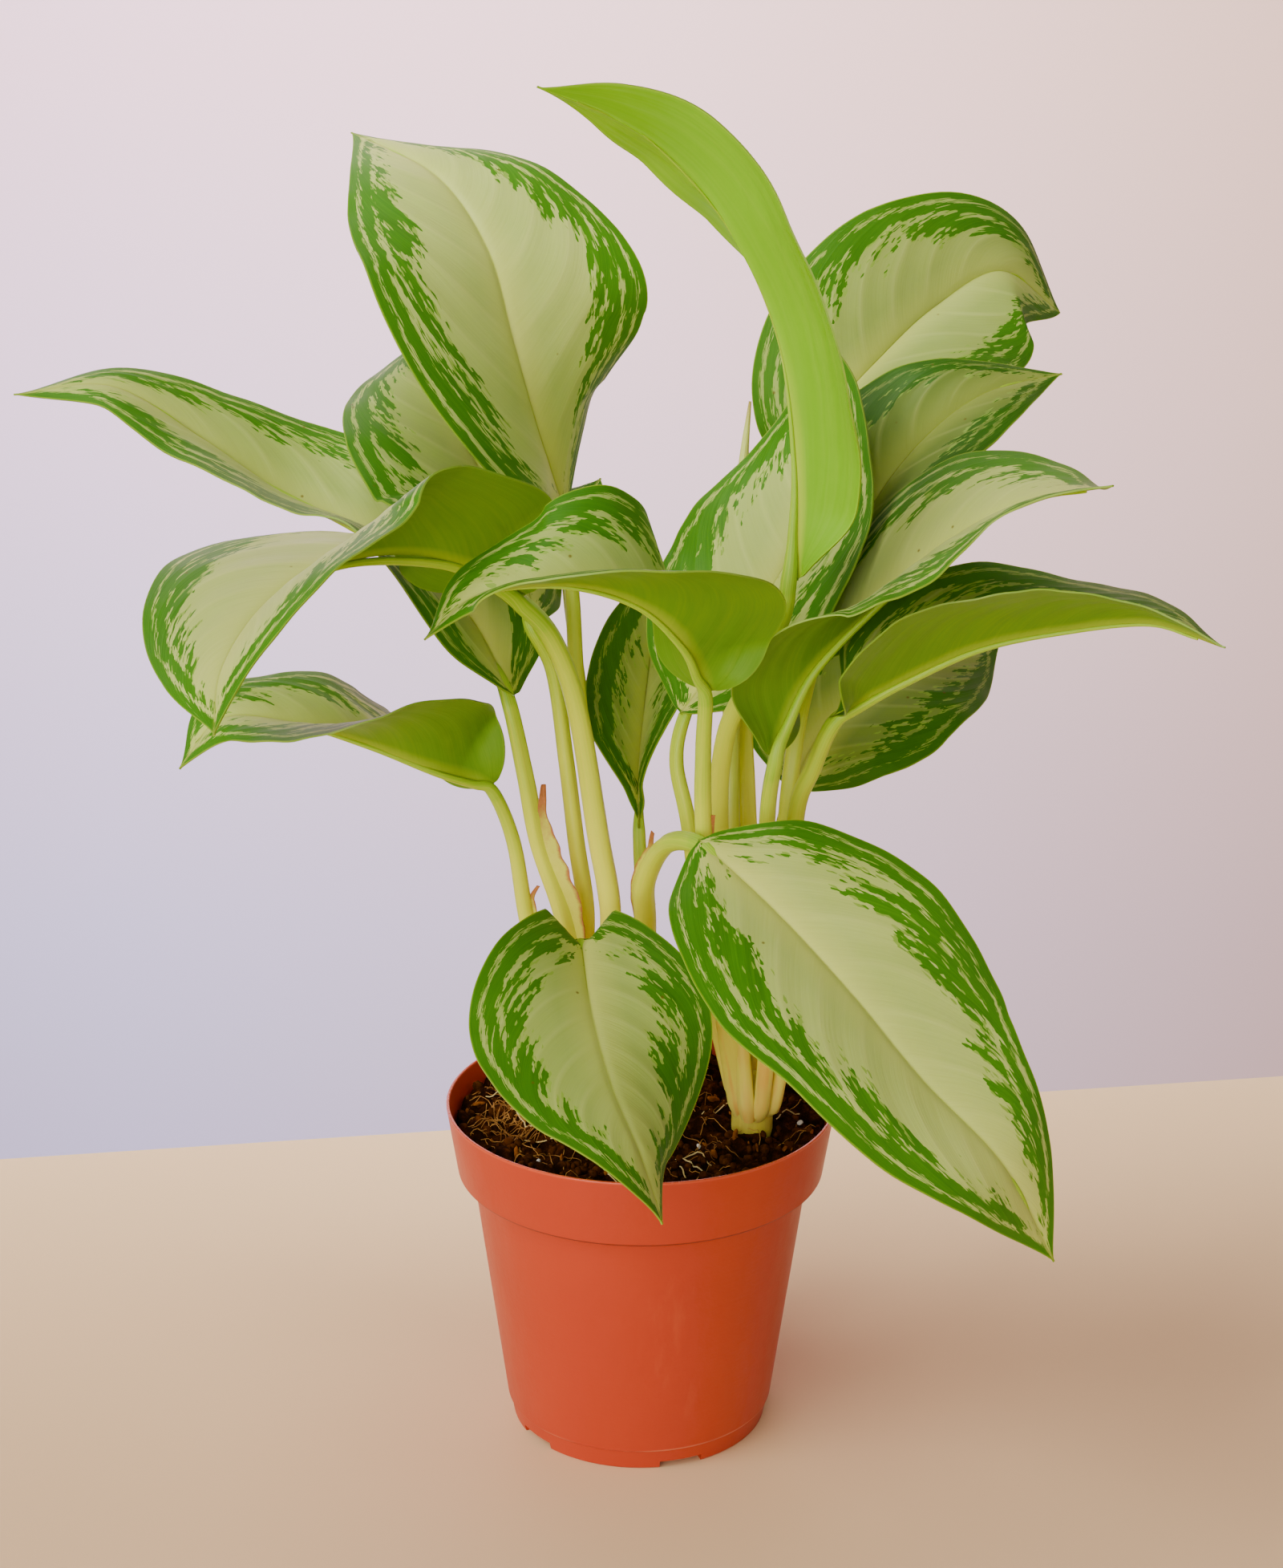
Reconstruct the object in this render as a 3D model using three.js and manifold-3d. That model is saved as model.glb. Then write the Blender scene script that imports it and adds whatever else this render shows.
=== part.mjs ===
// A potted Chinese evergreen (Aglaonema), in millimetres, +Z up.
// The origin is the middle of the pot's base, on the surface that the pot stands on.
// -Y is the front. Three short canes grow from the soil, and each carries a spray of
// leaves. A leaf is a blade on a stalk, whose lower end is a sheath that hugs its cane.

import * as THREE from "three";
import { mergeVertices } from "three/addons/utils/BufferGeometryUtils.js";
import Module from "manifold-3d";

const wasm = await Module();
wasm.setup();

// ---- driving dimensions ----

const touchGap = 0.3; // between pieces that touch
const weldDistance = 0.002; // between points of a cut face that become one

const potHeight = 105.5;
const rimRadius = 60; // at the top of the collar
const collarFootRadius = 56.3; // at the lower edge of the collar
const collarHeight = 22;
const bodyTopRadius = 52; // just under the collar
const ledgeRadius = 41.2; // at the small step above the foot
const ledgeHeight = 6.5;
const footRadius = 39.8;
const potWall = 1.4;
const potFloor = 3;
const drainHoleCount = 5;
const firstDrainTurn = -71; // degrees from +X round to the first hole
const drainHoleRadius = 3.5;
const drainHoleCircle = 27; // radius of the circle that the holes lie on
const drainChannelWidth = 13;
const drainChannelHeight = 1.6;
const drainChannelInner = 33; // the flat middle of the base is this radius

const soilBelowRim = 8;
const soilRoughness = 1.6; // height of the lumps
const soilMound = 3; // height of the mound at the left

const caneRadius = 6.5;
const caneFoot = 52; // height of a cane's lower end, in the soil
const caneTop = 116;

const bladeThickness = 0.8;
const basePower = 0.75; // of the outline's curve towards the base
const tipPower = 1.2; // of the outline's curve towards the tip
const acrossCurl = [25, 25, 25]; // degrees that a half-blade bends down from its rib to its edge
const lobeReach = 0.3; // share of the length over which the base lobes swing back
const baseReach = 0.1; // share of the length over which a blade opens to its full fold and lobes
const smallestHalfWidth = 1.2;
const bladeSteps = 14; // along a blade
const bladeStrips = 6; // across a blade

const stalkSides = 8;
const stalkStep = 12; // length of stalk between two rings
const stalkGapToBlade = 1;

// ---- colours ----

const colours = {
  pot: 0xc85030,
  soil: 0x3a2416,
  cane: 0xc6c07c,
  stalk: 0xbfc254,
  blade: 0xb4c396,
  plainBlade: 0x8fb838,
};

function material(colour, roughness) {
  return new THREE.MeshStandardMaterial({ color: colour, roughness, metalness: 0 });
}

// ---- the leaves ----
// rib: the midrib from the base to the tip. face: the way the upper face looks at the
// base, the middle and the tip. left and right: the half-width, then the angle in
// degrees that this half is raised at the base, the middle and the tip.
// lobe: how far the base swings back past the stalk. wave: the height of the edge's
// waves, their number and their start. curl: the degrees that a half bends down from its
// rib to its edge, at the base, the middle and the tip, where it isn't acrossCurl.
// stalk: the way from the cane to the blade. thick: the stalk's radius at its foot and top.

const leaves = {
  top_left: {
    rib: [[-24, 45, 279], [-32, 36, 307], [-39, 38, 332], [-47, 51, 357], [-64, 76, 376], [-93, 115, 385]],
    face: [[0.9, -0.4, 0.2], [0.3, -0.6, 0.7], [0, -0.2, 1]],
    left: [47, 30, 20, 10], right: [47, 15, 10, 5], lobe: 5, wave: [1.5, 2.6, 0.1],
    stalk: [[-9, 22, 106], [-9, 21, 135], [-10, 22, 158], [-16, 29, 195], [-20, 37, 227], [-22, 46, 256]],
    thick: [3.4, 2.3],
  },
  far_left: {
    rib: [[-38, 5, 232], [-53, 23, 253], [-80, 49, 268], [-109, 60, 279], [-135, 62, 297], [-162, 59, 314], [-190, 49, 313]],
    face: [[0.8, -0.3, 0.5], [0.3, -0.4, 0.9], [-0.1, -0.5, 0.9]],
    left: [35, 5, 45, -20], right: [37, 30, 25, -15], lobe: 8, wave: [1.2, 3.1, 0.4],
    stalk: [[-20, 9, 106], [-21, 8, 135], [-23, 7, 160], [-31, 6, 186], [-35, 5, 208]],
    thick: [3.8, 2.3],
  },
  behind_left: {
    rib: [[-32, 16, 252], [-37, 33, 267], [-45, 47, 282], [-55, 59, 298], [-65, 79, 313], [-70, 110, 324]],
    face: [[0.7, -0.6, 0.4], [0.3, -0.4, 0.8], [-0.4, -0.3, 0.9]],
    left: [45, 30, 15, 10], right: [24, 0, 0, 10], lobe: 5, wave: [1.4, 2.7, 0.7],
    stalk: [[-19, 17, 106], [-18, 16, 135], [-17, 15, 160], [-20, 16, 183], [-23, 18, 208], [-27, 19, 236]],
    thick: [3.2, 2.2],
  },
  drooping_left: {
    rib: [[-34, -11, 267], [-51, -24, 279], [-69, -32, 284], [-87, -46, 283], [-101, -70, 278], [-108, -98, 269], [-107, -121, 258]],
    face: [[0.1, 0.4, 0.9], [-0.1, -0.2, 1], [-0.6, -0.2, 0.8]],
    left: [48, 65, 45, 15], right: [47, -5, 10, 15], lobe: 7, wave: [1.5, 2.8, 0.3],
    stalk: [[-13, 8, 112], [-12, 5, 135], [-9, 4, 163], [-13, 1, 191], [-19, -4, 231], [-26, -8, 253]],
    thick: [4.3, 2.9],
  },
  middle_front: {
    rib: [[18, -43, 248], [8, -60, 270], [-8, -69, 282], [-26, -72, 285], [-45, -69, 281], [-58, -73, 270]],
    face: [[0.4, 0.7, 0.6], [0.4, -0.2, 0.9], [-0.6, -0.3, 0.8]],
    left: [34, 65, 55, 15], right: [35, 20, 40, 0], lobe: 9, wave: [1, 2.6, 0.5],
    stalk: [[29, -9, 108], [24, -15, 150], [18, -26, 199], [17, -37, 228]],
    thick: [3.6, 2.1],
  },
  low_left: {
    rib: [[-45, 10, 203], [-64, -3, 213], [-83, -7, 222], [-102, -9, 228], [-122, -12, 230], [-134, -17, 216]],
    face: [[0, 0.7, 0.8], [0.3, 0.1, 0.9], [-0.6, -0.4, 0.7]],
    left: [34, 90, 30, 10], right: [33, 30, 30, 10], lobe: 6, wave: [1, 2.9, 0.2],
    stalk: [[-22, 14, 105], [-28, 14, 132], [-35, 14, 158], [-39, 13, 184]],
    thick: [3.2, 2],
  },
  middle_back: {
    rib: [[-1, 32, 182], [-1, 44, 200], [1, 59, 218], [4, 75, 237], [9, 97, 253]],
    face: [[0, -0.8, 0.6], [-0.1, -0.8, 0.6], [0.2, -0.6, 0.8]],
    left: [22, 70, 45, 10], right: [22, 105, 50, 5], lobe: 6, wave: [1, 2.4, 0.6],
    stalk: [[6, 30, 106], [3, 33, 135], [0, 31, 165]],
    thick: [3.2, 2],
  },
  centre: {
    rib: [[11, 2, 228], [26, 11, 247], [41, 21, 267], [51, 31, 289], [55, 39, 314], [51, 46, 337]],
    face: [[-0.7, -0.5, 0.5], [-0.4, -0.6, 0.6], [-0.8, -0.5, 0.4]],
    left: [39, 25, 15, 5], right: [38, 5, 40, 15], lobe: 6, wave: [1.3, 2.8, 0.8],
    stalk: [[27, -1, 110], [20, -2, 150], [14, -1, 193], [10, 1, 213]],
    thick: [3.5, 2],
  },
  tall_plain: {
    rib: [[43, -25, 275], [42, -22, 312], [36, -23, 345], [23, -27, 372], [8, -32, 391], [-9, -41, 403], [-28, -52, 411]],
    face: [[0.9, 0.4, 0.1], [0.9, 0.3, -0.3], [-0.1, 0.9, 0.6]],
    left: [31, 40, 41, 34], right: [32, 85, 45, 45], curl: [-14, 60, -10], lobe: 3,
    wave: [0.8, 2.2, 0.2],
    stalk: [[32, -12, 108], [28, -9, 150], [23, -8, 194], [24, -18, 227], [32, -24, 248], [39, -26, 264]],
    thick: [4, 2.5],
    plain: true,
  },
  top_right: {
    rib: [[49, 68, 284], [60, 79, 305], [74, 90, 319], [92, 104, 333], [114, 115, 343], [135, 126, 328]],
    face: [[-0.7, -0.5, 0.6], [0.1, -0.8, 0.6], [0.5, -0.5, 0.7]],
    left: [42, 25, 25, 10], right: [40, 55, 35, 10], lobe: 8, wave: [1.5, 2.7, 0.5],
    stalk: [[34, 4, 108], [33, 7, 150], [31, 18, 200], [30, 44, 240], [37, 59, 265]],
    thick: [3.9, 2.5],
  },
  right_back: {
    rib: [[50, 14, 241], [58, 24, 262], [68, 32, 284], [83, 38, 303], [102, 45, 316], [127, 61, 319]],
    face: [[-0.2, -0.7, 0.6], [-0.6, -0.6, 0.6], [0.2, -0.5, 0.9]],
    left: [32, 25, 30, 10], right: [32, 60, 30, 5], lobe: 7, wave: [1.2, 2.9, 0.3],
    stalk: [[41, -2, 108], [43, 0, 150], [43, 2, 194], [46, 8, 222]],
    thick: [3.6, 2.2],
  },
  right_middle: {
    rib: [[36, -24, 223], [47, -21, 247], [65, -19, 266], [83, -24, 285], [103, -40, 301], [123, -66, 311]],
    face: [[-0.7, 0.6, 0.3], [-0.7, 0, 0.7], [0.2, 0.4, 0.9]],
    left: [40, 20, 30, 15], right: [38, 50, 20, 0], lobe: 5, wave: [1.3, 2.7, 0.6],
    stalk: [[37, -13, 108], [38, -15, 150], [36, -18, 198]],
    thick: [3.7, 2.4],
  },
  right_front: {
    rib: [[54, -12, 231], [74, -17, 244], [95, -21, 255], [118, -28, 262], [140, -39, 267], [158, -54, 264]],
    face: [[-0.6, -0.4, 0.7], [-0.3, 0, 1], [0.3, 0.1, 0.9]],
    left: [32, 65, 35, 25], right: [32, 75, 55, 35], lobe: 8, wave: [1, 2.8, 0.1],
    stalk: [[42, -8, 108], [45, -7, 150], [45, -6, 197], [50, -8, 215]],
    thick: [3.6, 2.4],
  },
  low_right_back: {
    rib: [[46, 38, 193], [56, 47, 209], [73, 59, 220], [94, 74, 224], [117, 97, 225]],
    face: [[-0.2, -0.8, 0.5], [0.1, -0.5, 0.8], [0.4, -0.5, 0.8]],
    left: [32, 20, 10, 10], right: [32, 10, 20, 10], lobe: 5, wave: [1.2, 2.5, 0.4],
    stalk: [[37, 8, 106], [38, 16, 140], [41, 28, 171]],
    thick: [3.2, 2.2],
  },
  front_right: {
    rib: [[16, -36, 202], [38, -59, 188], [58, -80, 172], [76, -98, 155], [97, -107, 135], [113, -101, 103]],
    face: [[-0.1, -0.6, 0.8], [0.3, -0.5, 0.8], [0.5, -0.9, 0.1]],
    left: [42, 25, 20, 10], right: [41, 20, 15, 15], lobe: 5, wave: [1.3, 3, 0.3],
    stalk: [[3, 14, 108], [1, 12, 135], [1, 6, 161], [1, -4, 178], [7, -20, 195]],
    thick: [4, 2.8],
  },
  front_heart: {
    rib: [[-18, -19, 165], [-14, -52, 155], [-8, -76, 143], [0, -94, 131], [6, -102, 114]],
    face: [[0, -0.3, 1], [0.2, -0.4, 0.9], [0.8, -0.4, 0.5]],
    left: [35, 50, 0, 5], right: [36, 60, 5, 20], lobe: 11, wave: [1, 2.6, 0.5],
    stalk: [[-12, 5, 104], [-14, -4, 130], [-16, -10, 150]],
    thick: [3.4, 2.3],
  },
  small_back: {
    rib: [[-24, 60, 262], [-22, 75, 268], [-19, 88, 273], [-14, 99, 278]],
    face: [[0.2, -0.3, 0.9], [0.1, -0.3, 0.9], [-0.1, -0.3, 0.9]],
    left: [14, 20, 15, 10], right: [14, 20, 10, 10], lobe: 2, wave: [0.8, 2.2, 0.5],
    stalk: [[-4, 30, 108], [-7, 34, 135], [-11, 39, 157], [-16, 47, 195], [-22, 55, 240]],
    thick: [2.8, 1.8],
  },
};

// The canes, each with its place in the soil and its leaves from the innermost out.
const canes = {
  cane_left: {
    at: [-12, 14],
    leaves: ["drooping_left", "top_left", "behind_left", "far_left", "front_heart", "low_left"],
  },
  cane_middle: { at: [4, 22], leaves: ["front_right", "middle_back", "small_back"] },
  cane_right: {
    at: [34, -4],
    leaves: ["top_right", "tall_plain", "right_middle", "right_front", "right_back", "middle_front",
      "centre", "low_right_back"],
  },
};

// The rolled new leaf, which rises among the right-hand stalks.
const newLeaf = {
  path: [[31, 0, 117.5], [29, 3, 150], [27, 9, 195], [27, 24, 225], [28, 37, 247], [30, 53, 289], [32, 56, 311]],
  radii: [2.6, 2.6, 2.4, 2.2, 2.4, 1.8, 0.6],
};

// ---- geometry helpers ----

function vector(p) {
  return new THREE.Vector3(...p);
}

function curveThrough(points) {
  return new THREE.CatmullRomCurve3(points, false, "catmullrom", 0.5);
}

function throughThree([base, middle, tip], s) {
  return base * (1 - s) * (1 - 2 * s) + middle * 4 * s * (1 - s) + tip * s * (2 * s - 1);
}

function closedGeometry(points, triangles) {
  const geometry = new THREE.BufferGeometry();
  const numbers = points.flatMap((p) => [p.x, p.y, p.z]);
  geometry.setAttribute("position", new THREE.Float32BufferAttribute(numbers, 3));
  geometry.setIndex(triangles);
  return geometry;
}

function toSolid(geometry) {
  const bare = geometry.clone();
  bare.deleteAttribute("normal");
  bare.deleteAttribute("uv");
  const merged = mergeVertices(bare, 1e-4);
  return new wasm.Manifold(new wasm.Mesh({
    numProp: 3,
    vertProperties: new Float32Array(merged.attributes.position.array),
    triVerts: new Uint32Array(merged.index.array),
  }));
}

// Points closer than the weld distance become one, and the slivers between them go.
function toGeometry(solid) {
  const mesh = solid.getMesh();
  const cut = new THREE.BufferGeometry();
  cut.setAttribute("position", new THREE.BufferAttribute(mesh.vertProperties, 3));
  cut.setIndex(new THREE.BufferAttribute(mesh.triVerts, 1));
  const welded = mergeVertices(cut, weldDistance);
  const corners = welded.index.array;
  const kept = [];
  for (let k = 0; k < corners.length; k += 3) {
    const [a, b, c] = corners.slice(k, k + 3);
    if (a !== b && b !== c && c !== a) kept.push(a, b, c);
  }
  welded.setIndex(kept);
  return welded;
}

// The largest piece of a solid that is cut by others.
function cutBy(geometry, cutters) {
  let solid = toSolid(geometry);
  for (const cutter of cutters) solid = solid.subtract(toSolid(cutter));
  const pieces = solid.decompose();
  pieces.sort((a, b) => b.volume() - a.volume());
  return toGeometry(pieces[0]);
}

// A closed tube along a curve, with a radius at each of a few even stations.
function tube(curve, radii, sides, grow = 0) {
  const steps = Math.max(3, Math.round(curve.getLength() / stalkStep));
  const frames = curve.computeFrenetFrames(steps, false);
  const points = [];
  for (let i = 0; i <= steps; i += 1) {
    const middle = curve.getPointAt(i / steps);
    const station = (i / steps) * (radii.length - 1);
    const low = Math.min(Math.floor(station), radii.length - 2);
    const radius = THREE.MathUtils.lerp(radii[low], radii[low + 1], station - low) + grow;
    for (let j = 0; j < sides; j += 1) {
      const turn = (j / sides) * 2 * Math.PI;
      points.push(middle.clone()
        .addScaledVector(frames.normals[i], radius * Math.cos(turn))
        .addScaledVector(frames.binormals[i], radius * Math.sin(turn)));
    }
  }
  const start = points.push(curve.getPointAt(0).addScaledVector(curve.getTangentAt(0), -grow)) - 1;
  const end = points.push(curve.getPointAt(1).addScaledVector(curve.getTangentAt(1), grow)) - 1;
  const triangles = [];
  for (let j = 0; j < sides; j += 1) {
    const next = (j + 1) % sides;
    triangles.push(start, next, j);
    triangles.push(end, steps * sides + j, steps * sides + next);
    for (let i = 0; i < steps; i += 1) {
      const [a, b] = [i * sides + j, i * sides + next];
      triangles.push(a, b, b + sides, a, b + sides, a + sides);
    }
  }
  return closedGeometry(points, triangles);
}

// ---- the blade ----

// The outline's half-width as a share of its greatest, at a share s of the length.
function outline(s) {
  const peak = basePower / (basePower + tipPower);
  return (s / peak) ** basePower * ((1 - s) / (1 - peak)) ** tipPower;
}

// The middle of the blade's thickness and its normal, at a share s of the length and a
// place t across it, from -1 at the left edge to 1 at the right one.
function bladePoint(leaf, rib, s, t, grow) {
  const along = rib.getTangentAt(s);
  const up = new THREE.Vector3(...[0, 1, 2].map((k) => throughThree(leaf.face.map((f) => f[k]), s)));
  up.addScaledVector(along, -up.dot(along)).normalize();
  const side = new THREE.Vector3().crossVectors(along, up).multiplyScalar(t < 0 ? -1 : 1);

  const out = Math.abs(t);
  const [halfWidth, ...raised] = t < 0 ? leaf.left : leaf.right;
  const share = outline(s);
  const width = Math.max(halfWidth * share, smallestHalfWidth) + grow;
  const open = THREE.MathUtils.clamp(s / baseReach, 0.05, 1);
  const fold = THREE.MathUtils.degToRad(throughThree(raised, s)) * open;
  const curl = THREE.MathUtils.degToRad(throughThree(leaf.curl ?? acrossCurl, s)) * open;
  const across = (width * (Math.sin(fold) - Math.sin(fold - curl * out))) / curl;
  const rise = (width * (Math.cos(fold - curl * out) - Math.cos(fold))) / curl;
  const [waveHeight, waveCount, waveStart] = leaf.wave;
  const sideShift = t < 0 ? 0 : 0.37;
  const wave = waveHeight * share * out * out
    * Math.sin(2 * Math.PI * (waveCount * s + waveStart + sideShift));
  const swing = (leaf.lobe + 3 * grow) * Math.max(0, 1 - s / lobeReach) ** 2;
  const back = swing * out ** 1.5 * open ** 2;

  const middle = rib.getPointAt(s)
    .addScaledVector(side, across)
    .addScaledVector(up, rise + wave)
    .addScaledVector(along, -back + grow * (2 * s - 1));
  const tilt = out === 0 ? 0 : fold - curl * out;
  const normal = up.multiplyScalar(Math.cos(tilt)).addScaledVector(side, -Math.sin(tilt));
  return { middle, normal };
}

function bladeGeometry(leaf, grow = 0) {
  const half = bladeThickness / 2 + grow;
  const rib = curveThrough(leaf.rib.map(vector));
  const top = [];
  const bottom = [];
  for (let i = 0; i <= bladeSteps; i += 1) {
    const s = Math.sin((Math.PI / 2) * (i / bladeSteps)) ** 2;
    for (let j = 0; j <= bladeStrips; j += 1) {
      const { middle, normal } = bladePoint(leaf, rib, s, (2 * j) / bladeStrips - 1, grow);
      top.push(middle.clone().addScaledVector(normal, half));
      bottom.push(middle.clone().addScaledVector(normal, -half));
    }
  }
  const row = bladeStrips + 1;
  const under = top.length;
  const triangles = [];
  for (let i = 0; i < bladeSteps; i += 1) {
    for (let j = 0; j < bladeStrips; j += 1) {
      const [a, b, c, d] = [i * row + j, i * row + j + 1, (i + 1) * row + j + 1, (i + 1) * row + j];
      triangles.push(a, b, c, a, c, d);
      triangles.push(under + a, under + c, under + b, under + a, under + d, under + c);
    }
  }
  const edge = [];
  for (let j = 0; j < bladeStrips; j += 1) edge.push(j);
  for (let i = 0; i < bladeSteps; i += 1) edge.push(i * row + bladeStrips);
  for (let j = bladeStrips; j > 0; j -= 1) edge.push(bladeSteps * row + j);
  for (let i = bladeSteps; i > 0; i -= 1) edge.push(i * row);
  edge.forEach((from, k) => {
    const to = edge[(k + 1) % edge.length];
    triangles.push(from, under + from, under + to, from, under + to, to);
  });
  return closedGeometry([...top, ...bottom], triangles);
}

// ---- stalks, canes and the new leaf ----

function stalkCurve(leaf) {
  const rib = curveThrough(leaf.rib.map(vector));
  const end = rib.getPointAt(0).addScaledVector(rib.getTangentAt(0), -stalkGapToBlade);
  return curveThrough([...leaf.stalk.map(vector), end]);
}

function caneGeometry([x, y], grow = 0) {
  const height = caneTop - caneFoot + 2 * grow;
  const cane = new THREE.CylinderGeometry(caneRadius + grow, caneRadius + grow, height, 24);
  cane.rotateX(Math.PI / 2);
  cane.translate(x, y, (caneTop + caneFoot) / 2);
  return cane;
}

// ---- the pot and the soil ----

function lathe(profile, segments = 48) {
  const shape = profile.map(([r, z]) => new THREE.Vector2(r, z));
  const turned = new THREE.LatheGeometry(shape, segments);
  turned.rotateX(Math.PI / 2);
  return turned;
}

function potGeometry() {
  const collarFoot = potHeight - collarHeight;
  const outside = [
    [0, 0], [footRadius - 0.8, 0], [footRadius, 0.8], [ledgeRadius - 0.4, ledgeHeight],
    [ledgeRadius + 0.2, ledgeHeight + 0.5], [bodyTopRadius, collarFoot - 1],
    [collarFootRadius, collarFoot], [rimRadius - 0.4, potHeight - 1], [rimRadius - 0.9, potHeight],
  ];
  const inside = [
    [rimRadius - potWall, potHeight - 0.4], [collarFootRadius - potWall, collarFoot + 1],
    [bodyTopRadius - potWall, collarFoot - 1], [footRadius - potWall + 0.6, potFloor], [0, potFloor],
  ];
  const cutters = [];
  for (let k = 0; k < drainHoleCount; k += 1) {
    const turn = THREE.MathUtils.degToRad(firstDrainTurn + (k / drainHoleCount) * 360);
    const hole = new THREE.CylinderGeometry(drainHoleRadius, drainHoleRadius, 3 * potFloor, 16);
    hole.rotateX(Math.PI / 2);
    hole.translate(drainHoleCircle * Math.cos(turn), drainHoleCircle * Math.sin(turn), potFloor / 2);
    const channelLength = footRadius + 2 - drainChannelInner;
    const channel = new THREE.BoxGeometry(channelLength, drainChannelWidth, 2 * drainChannelHeight);
    channel.translate(drainChannelInner + channelLength / 2, 0, 0);
    channel.rotateZ(turn);
    cutters.push(hole, channel);
  }
  return cutBy(lathe([...outside, ...inside]), cutters);
}

// The height of the soil at a place, with small lumps and a mound at the left.
function soilHeight(x, y) {
  const lumps = Math.sin(0.31 * x + 1.3) * Math.cos(0.27 * y) + 0.6 * Math.sin(0.55 * (x + y));
  const mound = Math.exp(-((x + 38) ** 2 + (y - 5) ** 2) / 500);
  return potHeight - soilBelowRim + soilRoughness * lumps + soilMound * mound;
}

function soilGeometry() {
  const segments = 48;
  const rings = 6;
  const floor = potFloor + touchGap;
  const collarFoot = potHeight - collarHeight;
  const clear = potWall + touchGap;
  const wallRadius = (z) => (z > collarFoot + 1
    ? THREE.MathUtils.mapLinear(z, collarFoot + 1, potHeight, collarFootRadius, rimRadius) - clear - 0.2
    : THREE.MathUtils.mapLinear(z, potFloor, collarFoot - 1, footRadius + 0.6, bodyTopRadius) - clear - 0.2);
  const surfaceRadius = wallRadius(potHeight - soilBelowRim - 4);
  const points = [new THREE.Vector3(0, 0, soilHeight(0, 0))];
  const around = (radius, height) => {
    for (let k = 0; k < segments; k += 1) {
      const turn = (k / segments) * 2 * Math.PI;
      const [x, y] = [radius * Math.cos(turn), radius * Math.sin(turn)];
      points.push(new THREE.Vector3(x, y, height === null ? soilHeight(x, y) : height));
    }
  };
  for (let ring = 1; ring <= rings; ring += 1) around((surfaceRadius * ring) / rings, null);
  around(wallRadius(collarFoot + 1.5), collarFoot + 1.5);
  around(wallRadius(collarFoot - 1.2), collarFoot - 1.2);
  around(wallRadius(floor), floor);
  points.push(new THREE.Vector3(0, 0, floor));
  const triangles = [];
  const bands = rings + 3;
  for (let k = 0; k < segments; k += 1) {
    const next = (k + 1) % segments;
    triangles.push(0, 1 + k, 1 + next);
    for (let band = 0; band < bands - 1; band += 1) {
      const [a, b] = [1 + band * segments + k, 1 + band * segments + next];
      triangles.push(a, a + segments, b + segments, a, b + segments, b);
    }
    const last = 1 + (bands - 1) * segments;
    triangles.push(points.length - 1, last + next, last + k);
  }
  const holes = Object.values(canes).map((cane) => caneGeometry(cane.at, touchGap));
  return cutBy(closedGeometry(points, triangles), holes);
}

// ---- the plant, put together ----

const plant = new THREE.Group();

function add(name, geometry, colour, roughness) {
  const mesh = new THREE.Mesh(geometry, material(colour, roughness));
  mesh.name = name;
  plant.add(mesh);
}

add("pot", potGeometry(), colours.pot, 0.45);
add("soil", soilGeometry(), colours.soil, 1);

for (const [caneName, cane] of Object.entries(canes)) {
  add(caneName, caneGeometry(cane.at), colours.cane, 0.5);
  const inner = [caneGeometry(cane.at, touchGap)];
  if (caneName === "cane_right") {
    const path = curveThrough(newLeaf.path.map(vector));
    add("new_leaf", tube(path, newLeaf.radii, 6), colours.stalk, 0.4);
    inner.push(tube(path, newLeaf.radii, 6, touchGap));
  }
  for (const name of cane.leaves) {
    const leaf = leaves[name];
    const curve = stalkCurve(leaf);
    const cutters = [...inner, bladeGeometry(leaf, touchGap)];
    add(`stalk_${name}`, cutBy(tube(curve, leaf.thick, stalkSides), cutters), colours.stalk, 0.4);
    add(`leaf_${name}`, bladeGeometry(leaf), leaf.plain ? colours.plainBlade : colours.blade, 0.45);
    inner.push(tube(curve, leaf.thick, stalkSides, touchGap));
  }
}

export default plant;
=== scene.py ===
# A potted Chinese evergreen (Aglaonema) with silver and green leaves in a round nursery pot.
# Metres, +Z up, -Y to the front. The origin is the middle of the pot's base.

import math
import random

import bpy
import numpy as np
from mathutils import Euler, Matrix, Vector, noise


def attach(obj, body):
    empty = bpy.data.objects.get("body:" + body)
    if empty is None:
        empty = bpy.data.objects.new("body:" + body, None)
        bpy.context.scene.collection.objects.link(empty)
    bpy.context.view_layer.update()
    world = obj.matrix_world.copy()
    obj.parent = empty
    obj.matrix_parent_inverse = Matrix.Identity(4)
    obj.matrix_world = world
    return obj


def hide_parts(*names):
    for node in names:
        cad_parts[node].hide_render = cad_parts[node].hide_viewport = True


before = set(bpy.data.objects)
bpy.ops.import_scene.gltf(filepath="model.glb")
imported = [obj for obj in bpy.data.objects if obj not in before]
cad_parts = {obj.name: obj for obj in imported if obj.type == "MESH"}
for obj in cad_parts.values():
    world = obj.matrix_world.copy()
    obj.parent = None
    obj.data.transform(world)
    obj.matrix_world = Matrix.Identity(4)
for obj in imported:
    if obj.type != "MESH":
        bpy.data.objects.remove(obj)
bpy.ops.object.select_all(action="DESELECT")
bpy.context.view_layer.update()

# ---- the camera ----
# It stands a little above the leaves, straight in front, and looks down at the pot.
# The photograph is 1600 by 1955 pixels, and its focal length is 3500 of them.
FOCAL_PIXELS = 3500
PHOTO_HEIGHT = 1955
SENSOR_HEIGHT = 36

bpy.ops.object.camera_add(location=(-0.0003, -0.7908, 0.4622), rotation=(math.radians(72.1), 0, 0))
camera = bpy.context.object
camera.rotation_euler.rotate_axis("Z", math.radians(0.32))
camera.data.sensor_fit = "VERTICAL"
camera.data.sensor_height = SENSOR_HEIGHT
camera.data.lens = SENSOR_HEIGHT * FOCAL_PIXELS / PHOTO_HEIGHT
bpy.context.scene.camera = camera

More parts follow.
